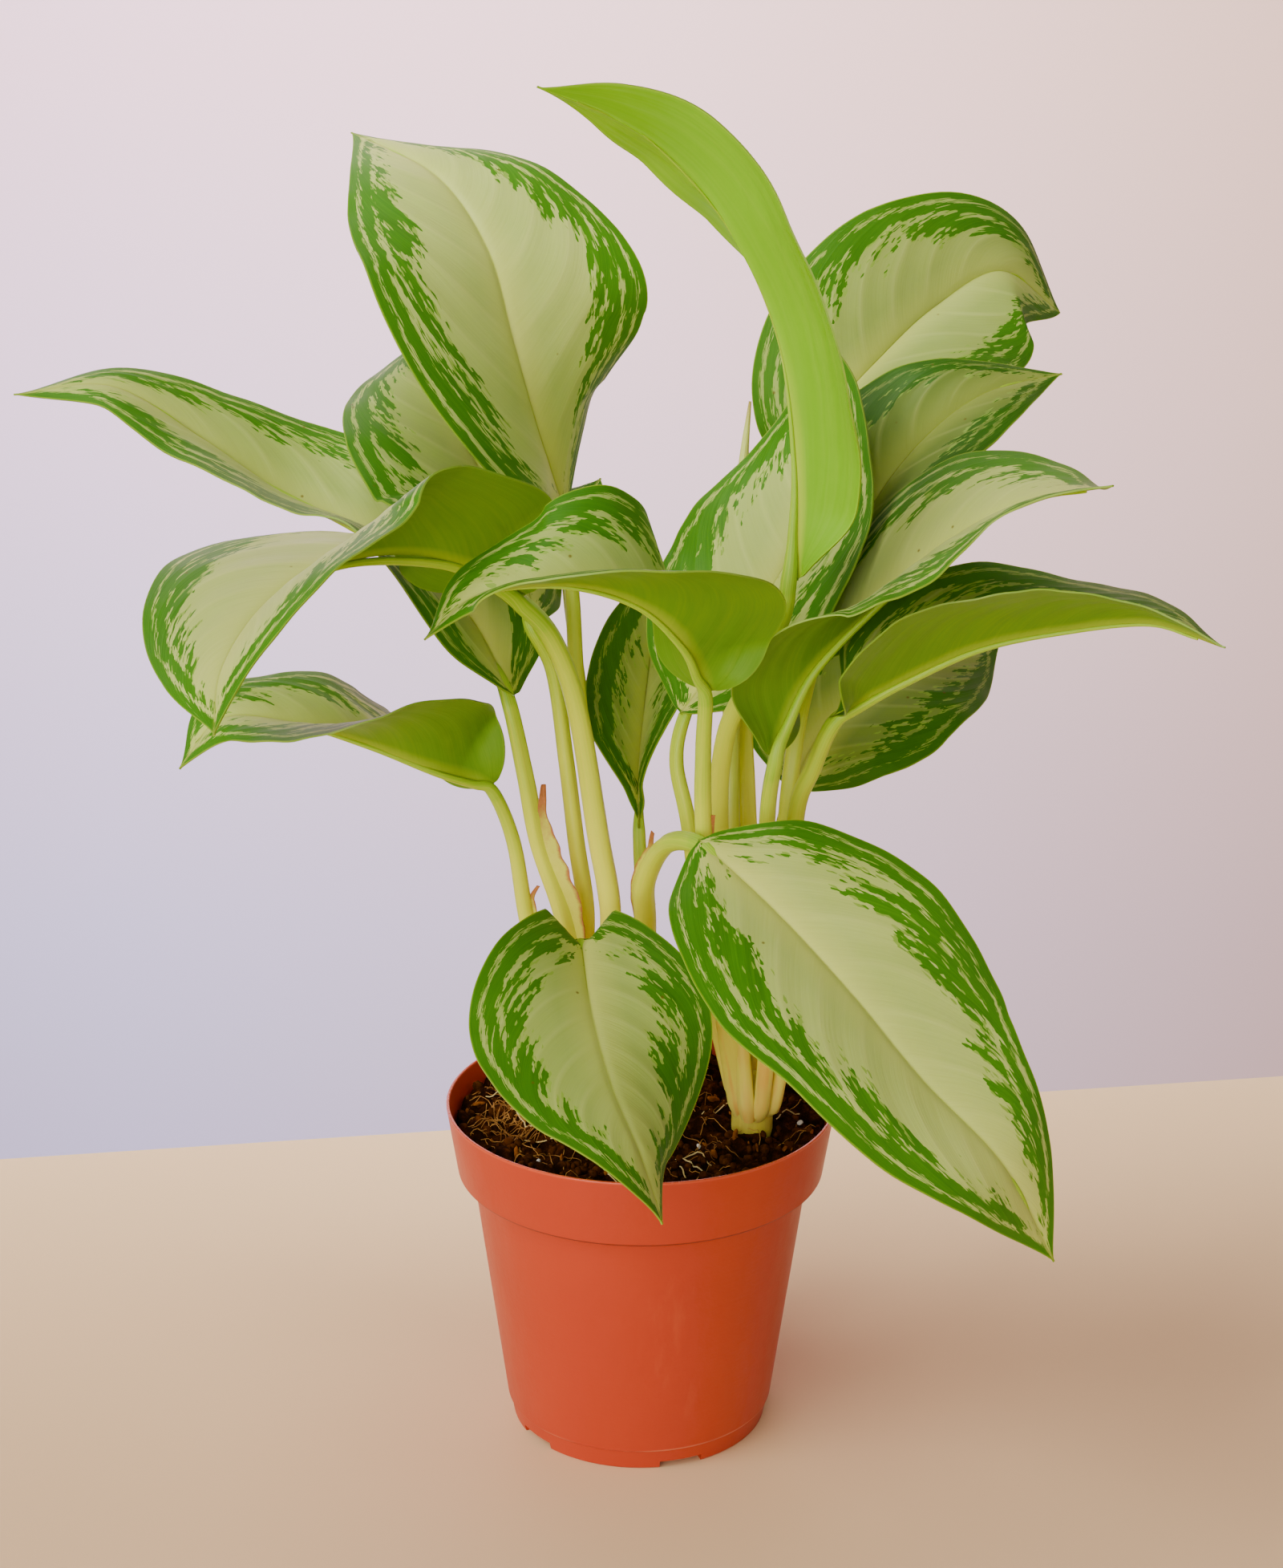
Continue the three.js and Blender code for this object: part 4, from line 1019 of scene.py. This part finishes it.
def underside_finish():
    under = Finish("olive_underside", {"Specular IOR Level": 0.3, "Specular Tint": LEAF_SHEEN})
    vein, run, seed = under.attribute("vein")
    to_edge, from_rib, _ = under.attribute("margin")
    fibres = under.stretched(vein, 110, run, 0.04, seed, detail=3)
    soft = under.cloud(under.place(), 40, detail=3)
    patches = under.stretched(vein, 16, run, 0.07, seed, detail=3, rough=0.6)
    colour = under.mix(soft, paint(84, 132, 2), paint(100, 146, 8))
    colour = under.mix(under.level(patches, 0.46, 0.62, 0, 0.3), colour, paint(86, 132, 2))
    colour = under.mix(under.level(fibres, 0.4, 0.75, 0, 0.2), colour, paint(146, 168, 36))
    colour = under.mix(under.level(from_rib, 3.5, 0.6, 0, 0.6), colour, paint(168, 184, 44))
    colour = under.mix(under.level(to_edge, 0.7, 0.2, 0, 0.35), colour, paint(140, 170, 34))
    under.skin(colour, under.level(soft, 0.3, 0.7, 0.4, 0.52), 0.2, (0.7, 1, 0.25), 0.002)
    under.relief(fibres, 0.00015, 0.4)
    return under


def plain_finish():
    """The bright green face of the youngest open leaf, which shows no silver from below."""
    plain = Finish("plain_green_face", {"Specular IOR Level": 0.3, "Specular Tint": LEAF_SHEEN})
    _, _, seed = plain.attribute("vein")
    to_edge, from_rib, _ = plain.attribute("margin")
    _, along, across = plain.attribute("leaf")
    streaks = plain.stretched(across, 14, along, 1.5, seed, detail=3)
    soft = plain.cloud(plain.place(), 40, detail=3)
    colour = plain.mix(soft, paint(124, 180, 3), paint(144, 198, 12))
    colour = plain.mix(plain.level(streaks, 0.42, 0.7, 0, 0.55), colour, paint(160, 202, 54))
    # The left half is painted a darker green: painted shade on that half.
    painted_shade_left_half = plain.level(across, 0.02, -0.1)
    colour = plain.mix(plain.times(painted_shade_left_half, 0.5), colour, paint(102, 158, 2))
    off_streak = plain.sum("ABSOLUTE", plain.sum("SUBTRACT", across, 0.3))
    central = plain.times(plain.level(off_streak, 0.1, 0.0), plain.level(along, 0.75, 0.4, 0, 0.5))
    colour = plain.mix(central, colour, paint(186, 214, 108))
    low_rib = plain.times(plain.level(from_rib, 3.4, 0.5), plain.level(along, 0.42, 0.05, 0, 0.85))
    colour = plain.mix(low_rib, colour, paint(206, 212, 60))
    colour = plain.mix(plain.level(to_edge, 0.8, 0.3, 0, 0.4), colour, paint(158, 198, 36))
    plain.skin(colour, plain.level(soft, 0.3, 0.7, 0.36, 0.48), 0.25, (0.7, 1, 0.25), 0.002)
    plain.relief(streaks, 0.00015, 0.35)
    return plain


def rim_finish():
    rim = Finish("leaf_rim", {"Roughness": 0.45})
    tone = rim.cloud(rim.place(), 90, detail=2)
    rim.feed(rim.shader, {"Base Color": rim.mix(tone, paint(96, 140, 14), paint(146, 170, 44))})
    return rim


silver, underside, plain, leaf_rim = silver_finish(), underside_finish(), plain_finish(), rim_finish()
for k, (name, leaf) in enumerate(LEAVES.items()):
    youngest = name == "tall_plain"
    blade = make_blade(name, leaf, k + 1, (silver, plain if youngest else underside, leaf_rim))

# ---- the leaf stalks ----
# A stalk is smooth and fleshy. Its lower part is a broader, grooved sheath, which crowds
# against its cane and the other sheaths, and its top runs on under the blade as a keel.
STALK_SIDES = 22
STALK_RINGS = 130
KEEL_SHARES = (0.07, 0.2, 0.4, 0.6, 0.8, 0.93)
SHEATH_FOOT = 0.003
SHEATH_SHARE = 0.52
FOOT_DRAWN_IN = 0.74
BURIED_DRAWN_IN = 0.6
BURIED_RADIUS = 0.62
KEEL_SHRINK = (0.62, 0.42, 0.15)
HOLDER = {
    "cane_left": ["drooping_left", "top_left", "behind_left", "far_left", "front_heart", "low_left"],
    "cane_middle": ["front_right", "middle_back", "small_back"],
    "cane_right": ["top_right", "tall_plain", "right_middle", "right_front", "right_back", "middle_front",
                   "centre", "low_right_back"],
}


def carried_frames(path, shares, start_up):
    """The up way at each ring, carried along the path with no twist of its own."""
    ahead = path.ahead(shares)
    up = np.array(start_up, float)
    ups = []
    for way in ahead:
        up = unit(up - way * (up * way).sum())
        ups.append(up)
    return ahead, np.array(ups)


def rolled_tube(name, sides, rings):
    """A grid rolled up lengthwise: each point's angle round the tube and its share along it."""
    piece, x, y = grid_of(name, sides, rings)
    return piece, (x + 1) * np.pi, (y + 1) / 2


def close_tube(piece):
    bpy.ops.object.mode_set(mode="EDIT")
    bpy.ops.mesh.select_all(action="SELECT")
    bpy.ops.mesh.remove_doubles(threshold=1e-7)
    bpy.ops.mesh.fill_holes(sides=0)
    bpy.ops.mesh.select_all(action="SELECT")
    bpy.ops.mesh.normals_make_consistent(inside=False)
    bpy.ops.object.mode_set(mode="OBJECT")
    bpy.ops.object.shade_smooth_by_angle(angle=math.radians(50))


def make_stalk(name, leaf, cane, seed, finish):
    rib = Path(leaf["rib"])
    foot_radius, top_radius = leaf["thick"]
    axis = np.array([*CANES[cane], 0])
    way_up = np.array(leaf["stalk"])
    way_up[0] = axis + (way_up[0] - axis) * (FOOT_DRAWN_IN, FOOT_DRAWN_IN, 1)
    below = axis + (way_up[0] - axis) * (BURIED_DRAWN_IN, BURIED_DRAWN_IN, 0)
    below[2] = way_up[0, 2] - SHEATH_FOOT
    keel_s = np.array((0.0,) + KEEL_SHARES)
    keel_radius = np.interp(keel_s, (0, 0.08, 0.3, 0.93), (1, *leaf.get("keel", KEEL_SHRINK))) * top_radius
    sunk = blade_up(leaf, rib, keel_s) * (0.9 * keel_radius + 0.25 * MM)[:, None]
    keel = rib.at(keel_s) - sunk
    points = np.vstack([below, way_up, keel])
    path = Path(points)
    knots = [np.abs(path.points - p).sum(1).argmin() for p in points]
    stations = path.shares[knots]
    last_stalk = len(leaf["stalk"])
    slim = np.interp(
        stations[1:last_stalk + 2], (stations[1], stations[last_stalk + 1]), (foot_radius, top_radius))
    slim[0] *= 0.9
    radii = np.concatenate([[foot_radius * BURIED_RADIUS], slim, keel_radius[1:]])

    piece, angle, share = rolled_tube("petiole_" + name, STALK_SIDES, STALK_RINGS)
    ring_shares = np.unique(np.round(share, 6))
    joint = stations[last_stalk + 1]
    top_up = blade_up(leaf, rib, np.array([0.02]))[0]
    ahead, ups = carried_frames(path, ring_shares[::-1], top_up)
    ahead, ups = ahead[::-1], ups[::-1]
    on_keel = np.clip((ring_shares - joint) / 0.04, 0, 1)[:, None]
    keel_share = np.clip((ring_shares - joint) / (1 - joint), 0, 1) * KEEL_SHARES[-1]
    wanted = blade_up(leaf, rib, keel_share)
    wanted = unit(wanted - ahead * (wanted * ahead).sum(-1, keepdims=True))
    ups = unit(ups * (1 - on_keel) + wanted * on_keel)
    ring = np.round(share * STALK_RINGS).astype(int)
    way, up = ahead[ring], ups[ring]
    side = np.cross(way, up)
    radius = np.interp(share, stations, radii)
    sheath = np.clip(1 - share / (SHEATH_SHARE * joint), 0, 1) ** 0.8
    groove = (0.2 + 0.25 * sheath) * np.exp(-((angle - np.pi / 2) / 0.5) ** 2)
    upward = np.sin(angle) * radius * (1 - 0.12 * sheath) - radius * groove
    sideways = np.cos(angle) * radius * (1 + 0.22 * sheath)
    places = path.at(share) + side * sideways[:, None] + up * upward[:, None]
    move_points(piece, places)
    set_attribute(piece.data, "round", np.cos(angle), np.sin(angle), seed * 2.3)
    set_attribute(piece.data, "stalk", share / joint, share * path.length / MM, seed * 1.7)
    piece.data.materials.append(finish.material)
    close_tube(piece)
    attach(piece, "root")
    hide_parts("stalk_" + name)
    return path, joint, stations, radii


def stalk_finish():
    stalk = Finish("yellow_green_stalk", {"Specular IOR Level": 0.35})
    turn_x, turn_y, seed = stalk.attribute("round")
    share, length, seed_two = stalk.attribute("stalk")
    lines = stalk.cloud(stalk.vector(
        stalk.times(turn_x, 6), stalk.times(turn_y, 6),
        stalk.sum("MULTIPLY_ADD", length, 0.03, seed)), 1.0, detail=3)
    soft = stalk.cloud(stalk.place(), 45, detail=3)
    shifted = stalk.sum("MULTIPLY_ADD", soft, 0.24, stalk.plus(share, -0.12))
    colour = stalk.ramp(shifted, [
        (0, paint(244, 220, 100)), (0.16, paint(238, 226, 84)), (0.4, paint(230, 230, 66)),
        (0.7, paint(208, 220, 48)), (0.98, paint(164, 196, 24)), (1, paint(146, 188, 16)),
    ])
    pale = stalk.mix(stalk.level(lines, 0.42, 0.7, 0, 0.35), colour, paint(228, 222, 76))
    blush = stalk.cloud(stalk.vector(seed_two, turn_x, stalk.times(length, 0.03)), 1.4, detail=2)
    low = stalk.level(share, 0.5, 0.05)
    tint = stalk.times(stalk.level(blush, 0.5, 0.7, 0, 0.75), low)
    colour = stalk.mix(tint, pale, paint(236, 160, 66))
    stalk.skin(colour, stalk.level(soft, 0.3, 0.7, 0.36, 0.5), 0.35, (1, 0.9, 0.3), 0.003)
    stalk.relief(lines, 0.0002, 0.5)
    return stalk


stalk_green = stalk_finish()
stalk_shapes = {}
for cane, names in HOLDER.items():
    for k, name in enumerate(names):
        stalk_shapes[name] = make_stalk(name, LEAVES[name], cane, k + 1 + 10 * len(cane), stalk_green)

# ---- the dry sheath edges ----
# The free edge of an old sheath is a thin wing along its stalk, which dries brown at its
# edge and ends in a torn tip that stands away.
DRY_EDGES = [
    # stalk, share of the stalk at the wing's foot and tip, side, reach, lift of the tip
    ("far_left", 0.36, 0.8, (0.9, -0.4, 0), 4 * MM, 1.6 * MM),
    ("low_left", 0.45, 0.68, (1, -0.3, 0), 1.9 * MM, 1.8 * MM),
    ("front_right", 0.5, 0.86, (-0.7, -0.2, 0.7), 1.1 * MM, 1.6 * MM),
    ("front_heart", 0.5, 0.85, (0.8, -0.6, 0), 1.2 * MM, 0.8 * MM),
    ("middle_front", 0.4, 0.72, (0.9, -0.4, 0), 0.9 * MM, 0.6 * MM),
    ("middle_back", 0.5, 0.72, (0.7, -0.7, 0), 0.9 * MM, 1.4 * MM),
]
DRY_THICKNESS = 0.0003


def dry_finish():
    dry = Finish("dry_sheath", {"Roughness": 0.6, "Specular IOR Level": 0.3})
    outward, along, _ = dry.attribute("strip")
    tone = dry.cloud(dry.place(), 380, detail=4, rough=0.65)
    brown = dry.mix(tone, paint(120, 58, 20), paint(206, 134, 72))
    alive = dry.mix(tone, paint(204, 206, 52), paint(222, 218, 84))
    edge = dry.level(dry.sum("MULTIPLY_ADD", tone, 0.5, outward), 1.0, 1.22)
    tip = dry.level(dry.sum("MULTIPLY_ADD", tone, 0.4, along), 0.88, 1.1)
    dry.feed(dry.shader, {"Base Color": dry.mix(dry.sum("MAXIMUM", edge, tip), alive, brown)})
    dry.relief(tone, 0.0003, 0.6)
    return dry


def dry_edge(name, start, end, side, reach, lift, seed, finish):
    path, joint, stations, radii = stalk_shapes[name]
    piece, x, y = grid_of("dry_edge_" + name, 8, 70)
    outward, along = (x + 1) / 2, (y + 1) / 2
    share = (start + (end - start) * along) * joint
    ahead = path.ahead(share)
    out = np.array(side, float)
    out = unit(out - ahead * (ahead * out).sum(-1, keepdims=True))
    around = np.cross(ahead, out)
    ragged = np.array([noise.noise(Vector((11 * a, 0, seed))) for a in along])
    taper = np.minimum(1, 5 * along + 0.1) * (1 - 0.9 * np.clip((along - 0.45) / 0.55, 0, 1) ** 1.4)
    inner = 0.55 * np.interp(share, stations, radii)
    off = lift * np.clip((along - 0.8) / 0.2, 0, 1) ** 1.3
    away = inner + 2 * off + outward * (reach * taper * (1 + 0.3 * ragged) + inner * 0.75)
    bent = reach * 0.16 * np.sin(2.6 * outward + 5 * along + seed)
    places = path.at(share) + out * away[:, None] + around * bent[:, None]
    move_points(piece, places)
    set_attribute(piece.data, "strip", outward, along, seed)
    piece.data.materials.append(finish.material)
    thickness = piece.modifiers.new("thickness", "SOLIDIFY")
    thickness.thickness = DRY_THICKNESS
    thickness.offset = 0
    apply_modifiers(piece)
    bpy.ops.object.shade_smooth_by_angle(angle=math.radians(50))
    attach(piece, "root")


dried = dry_finish()
for k, (name, *shape) in enumerate(DRY_EDGES):
    dry_edge(name, *shape, k + 1.5, dried)

# ---- the canes ----
# Short, fleshy stems, which rise out of the soil among the sheaths. Each has the ring
# scars of old leaves.
CANE_FOOT = 0.052
CANE_TOP = 0.116
CANE_RINGS = 70
CANE_SIDES = 40
LEAF_SCARS = [
    # height, how much higher on each next cane, half-width
    (0.1005, 0.002, 0.7 * MM),
    (0.1095, 0.001, 0.6 * MM),
]

fleshy = Finish("pale_cane", {"Specular IOR Level": 0.4})
soft = fleshy.cloud(fleshy.place(), 120, detail=4)
lines = fleshy.cloud(fleshy.place((1, 1, 0.12)), 700, detail=2)
_, _, height = fleshy.split(fleshy.place())
colour = fleshy.mix(soft, paint(222, 206, 62), paint(238, 222, 92))
colour = fleshy.mix(fleshy.level(lines, 0.5, 0.7, 0, 0.4), colour, paint(196, 182, 60))
earthy = fleshy.times(fleshy.level(height, 0.106, 0.096), fleshy.level(soft, 0.4, 0.6))
colour = fleshy.mix(fleshy.times(earthy, 0.6), colour, paint(128, 82, 28))
fleshy.skin(colour, 0.45, 0.3, (1, 0.8, 0.35), 0.003)
fleshy.relief(fleshy.plus(soft, lines), 0.0003, 0.5)

for k, (name, (cane_x, cane_y)) in enumerate(CANES.items()):
    piece, angle, share = rolled_tube("stem_" + name, CANE_SIDES, CANE_RINGS)
    height = CANE_FOOT + (CANE_TOP - CANE_FOOT) * share
    scar = 0
    for scar_height, step, spread in LEAF_SCARS:
        scar = scar + np.exp(-(((height - scar_height - step * k) / spread) ** 2))
    dome = np.clip((CANE_TOP - height) / (3 * MM), 0, 1) ** 0.5
    radius = CANE_RADIUS * (0.97 + 0.02 * np.sin(3 * angle + k)) * (0.25 + 0.75 * dome) + 0.25 * MM * scar
    move_points(piece, np.stack([
        cane_x + radius * np.cos(angle), cane_y + radius * np.sin(angle), height], -1))
    piece.data.materials.append(fleshy.material)
    close_tube(piece)
    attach(piece, "root")
    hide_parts(name)

# ---- the new leaf ----
# The next leaf, still rolled into a spear, which rises among the stalks at the right.
SPEAR_PATH = [
    (0.031, 0, 0.1175), (0.029, 0.003, 0.15), (0.027, 0.009, 0.195), (0.027, 0.024, 0.225),
    (0.028, 0.037, 0.247), (0.03, 0.053, 0.289), (0.032, 0.056, 0.311),
]
SPEAR_RADII = (0.0026, 0.0026, 0.0024, 0.0024, 0.0027, 0.0024, 0.0004)
SPEAR_SIDES = 28
SPEAR_RINGS = 150

path = Path(SPEAR_PATH)
spear, angle, share = rolled_tube("rolled_new_leaf", SPEAR_SIDES, SPEAR_RINGS)
ring_shares = np.unique(np.round(share, 6))
ahead, ups = carried_frames(path, ring_shares, (0, -1, 0))
ring = np.round(share * SPEAR_RINGS).astype(int)
way, up = ahead[ring], ups[ring]
side = np.cross(way, up)
stations = np.linspace(0, 1, len(SPEAR_RADII))
turned = (angle + 5 * share) % (2 * np.pi)
lip = 1 + 0.22 * (turned / (2 * np.pi)) ** 3
radius = np.interp(share, stations, SPEAR_RADII) * lip
places = path.at(share) + side * (radius * np.cos(angle))[:, None] + up * (radius * np.sin(angle))[:, None]
move_points(spear, places)
set_attribute(spear.data, "roll", turned, share, 0)

rolled = Finish("rolled_leaf_green", {})
turned, share, _ = rolled.attribute("roll")
lines = rolled.stretched(turned, 5, share, 3, 0)
colour = rolled.ramp(share, [
    (0, paint(214, 206, 70)), (0.45, paint(198, 208, 62)),
    (0.96, paint(212, 218, 112)), (1, paint(166, 132, 48)),
])
colour = rolled.mix(rolled.level(lines, 0.4, 0.7, 0, 0.4), colour, paint(176, 200, 60))
rolled.skin(colour, 0.42, 0.25, (1, 0.9, 0.3), 0.003)
rolled.relief(lines, 0.0002, 0.5)
spear.data.materials.append(rolled.material)
close_tube(spear)
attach(spear, "root")
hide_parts("new_leaf")
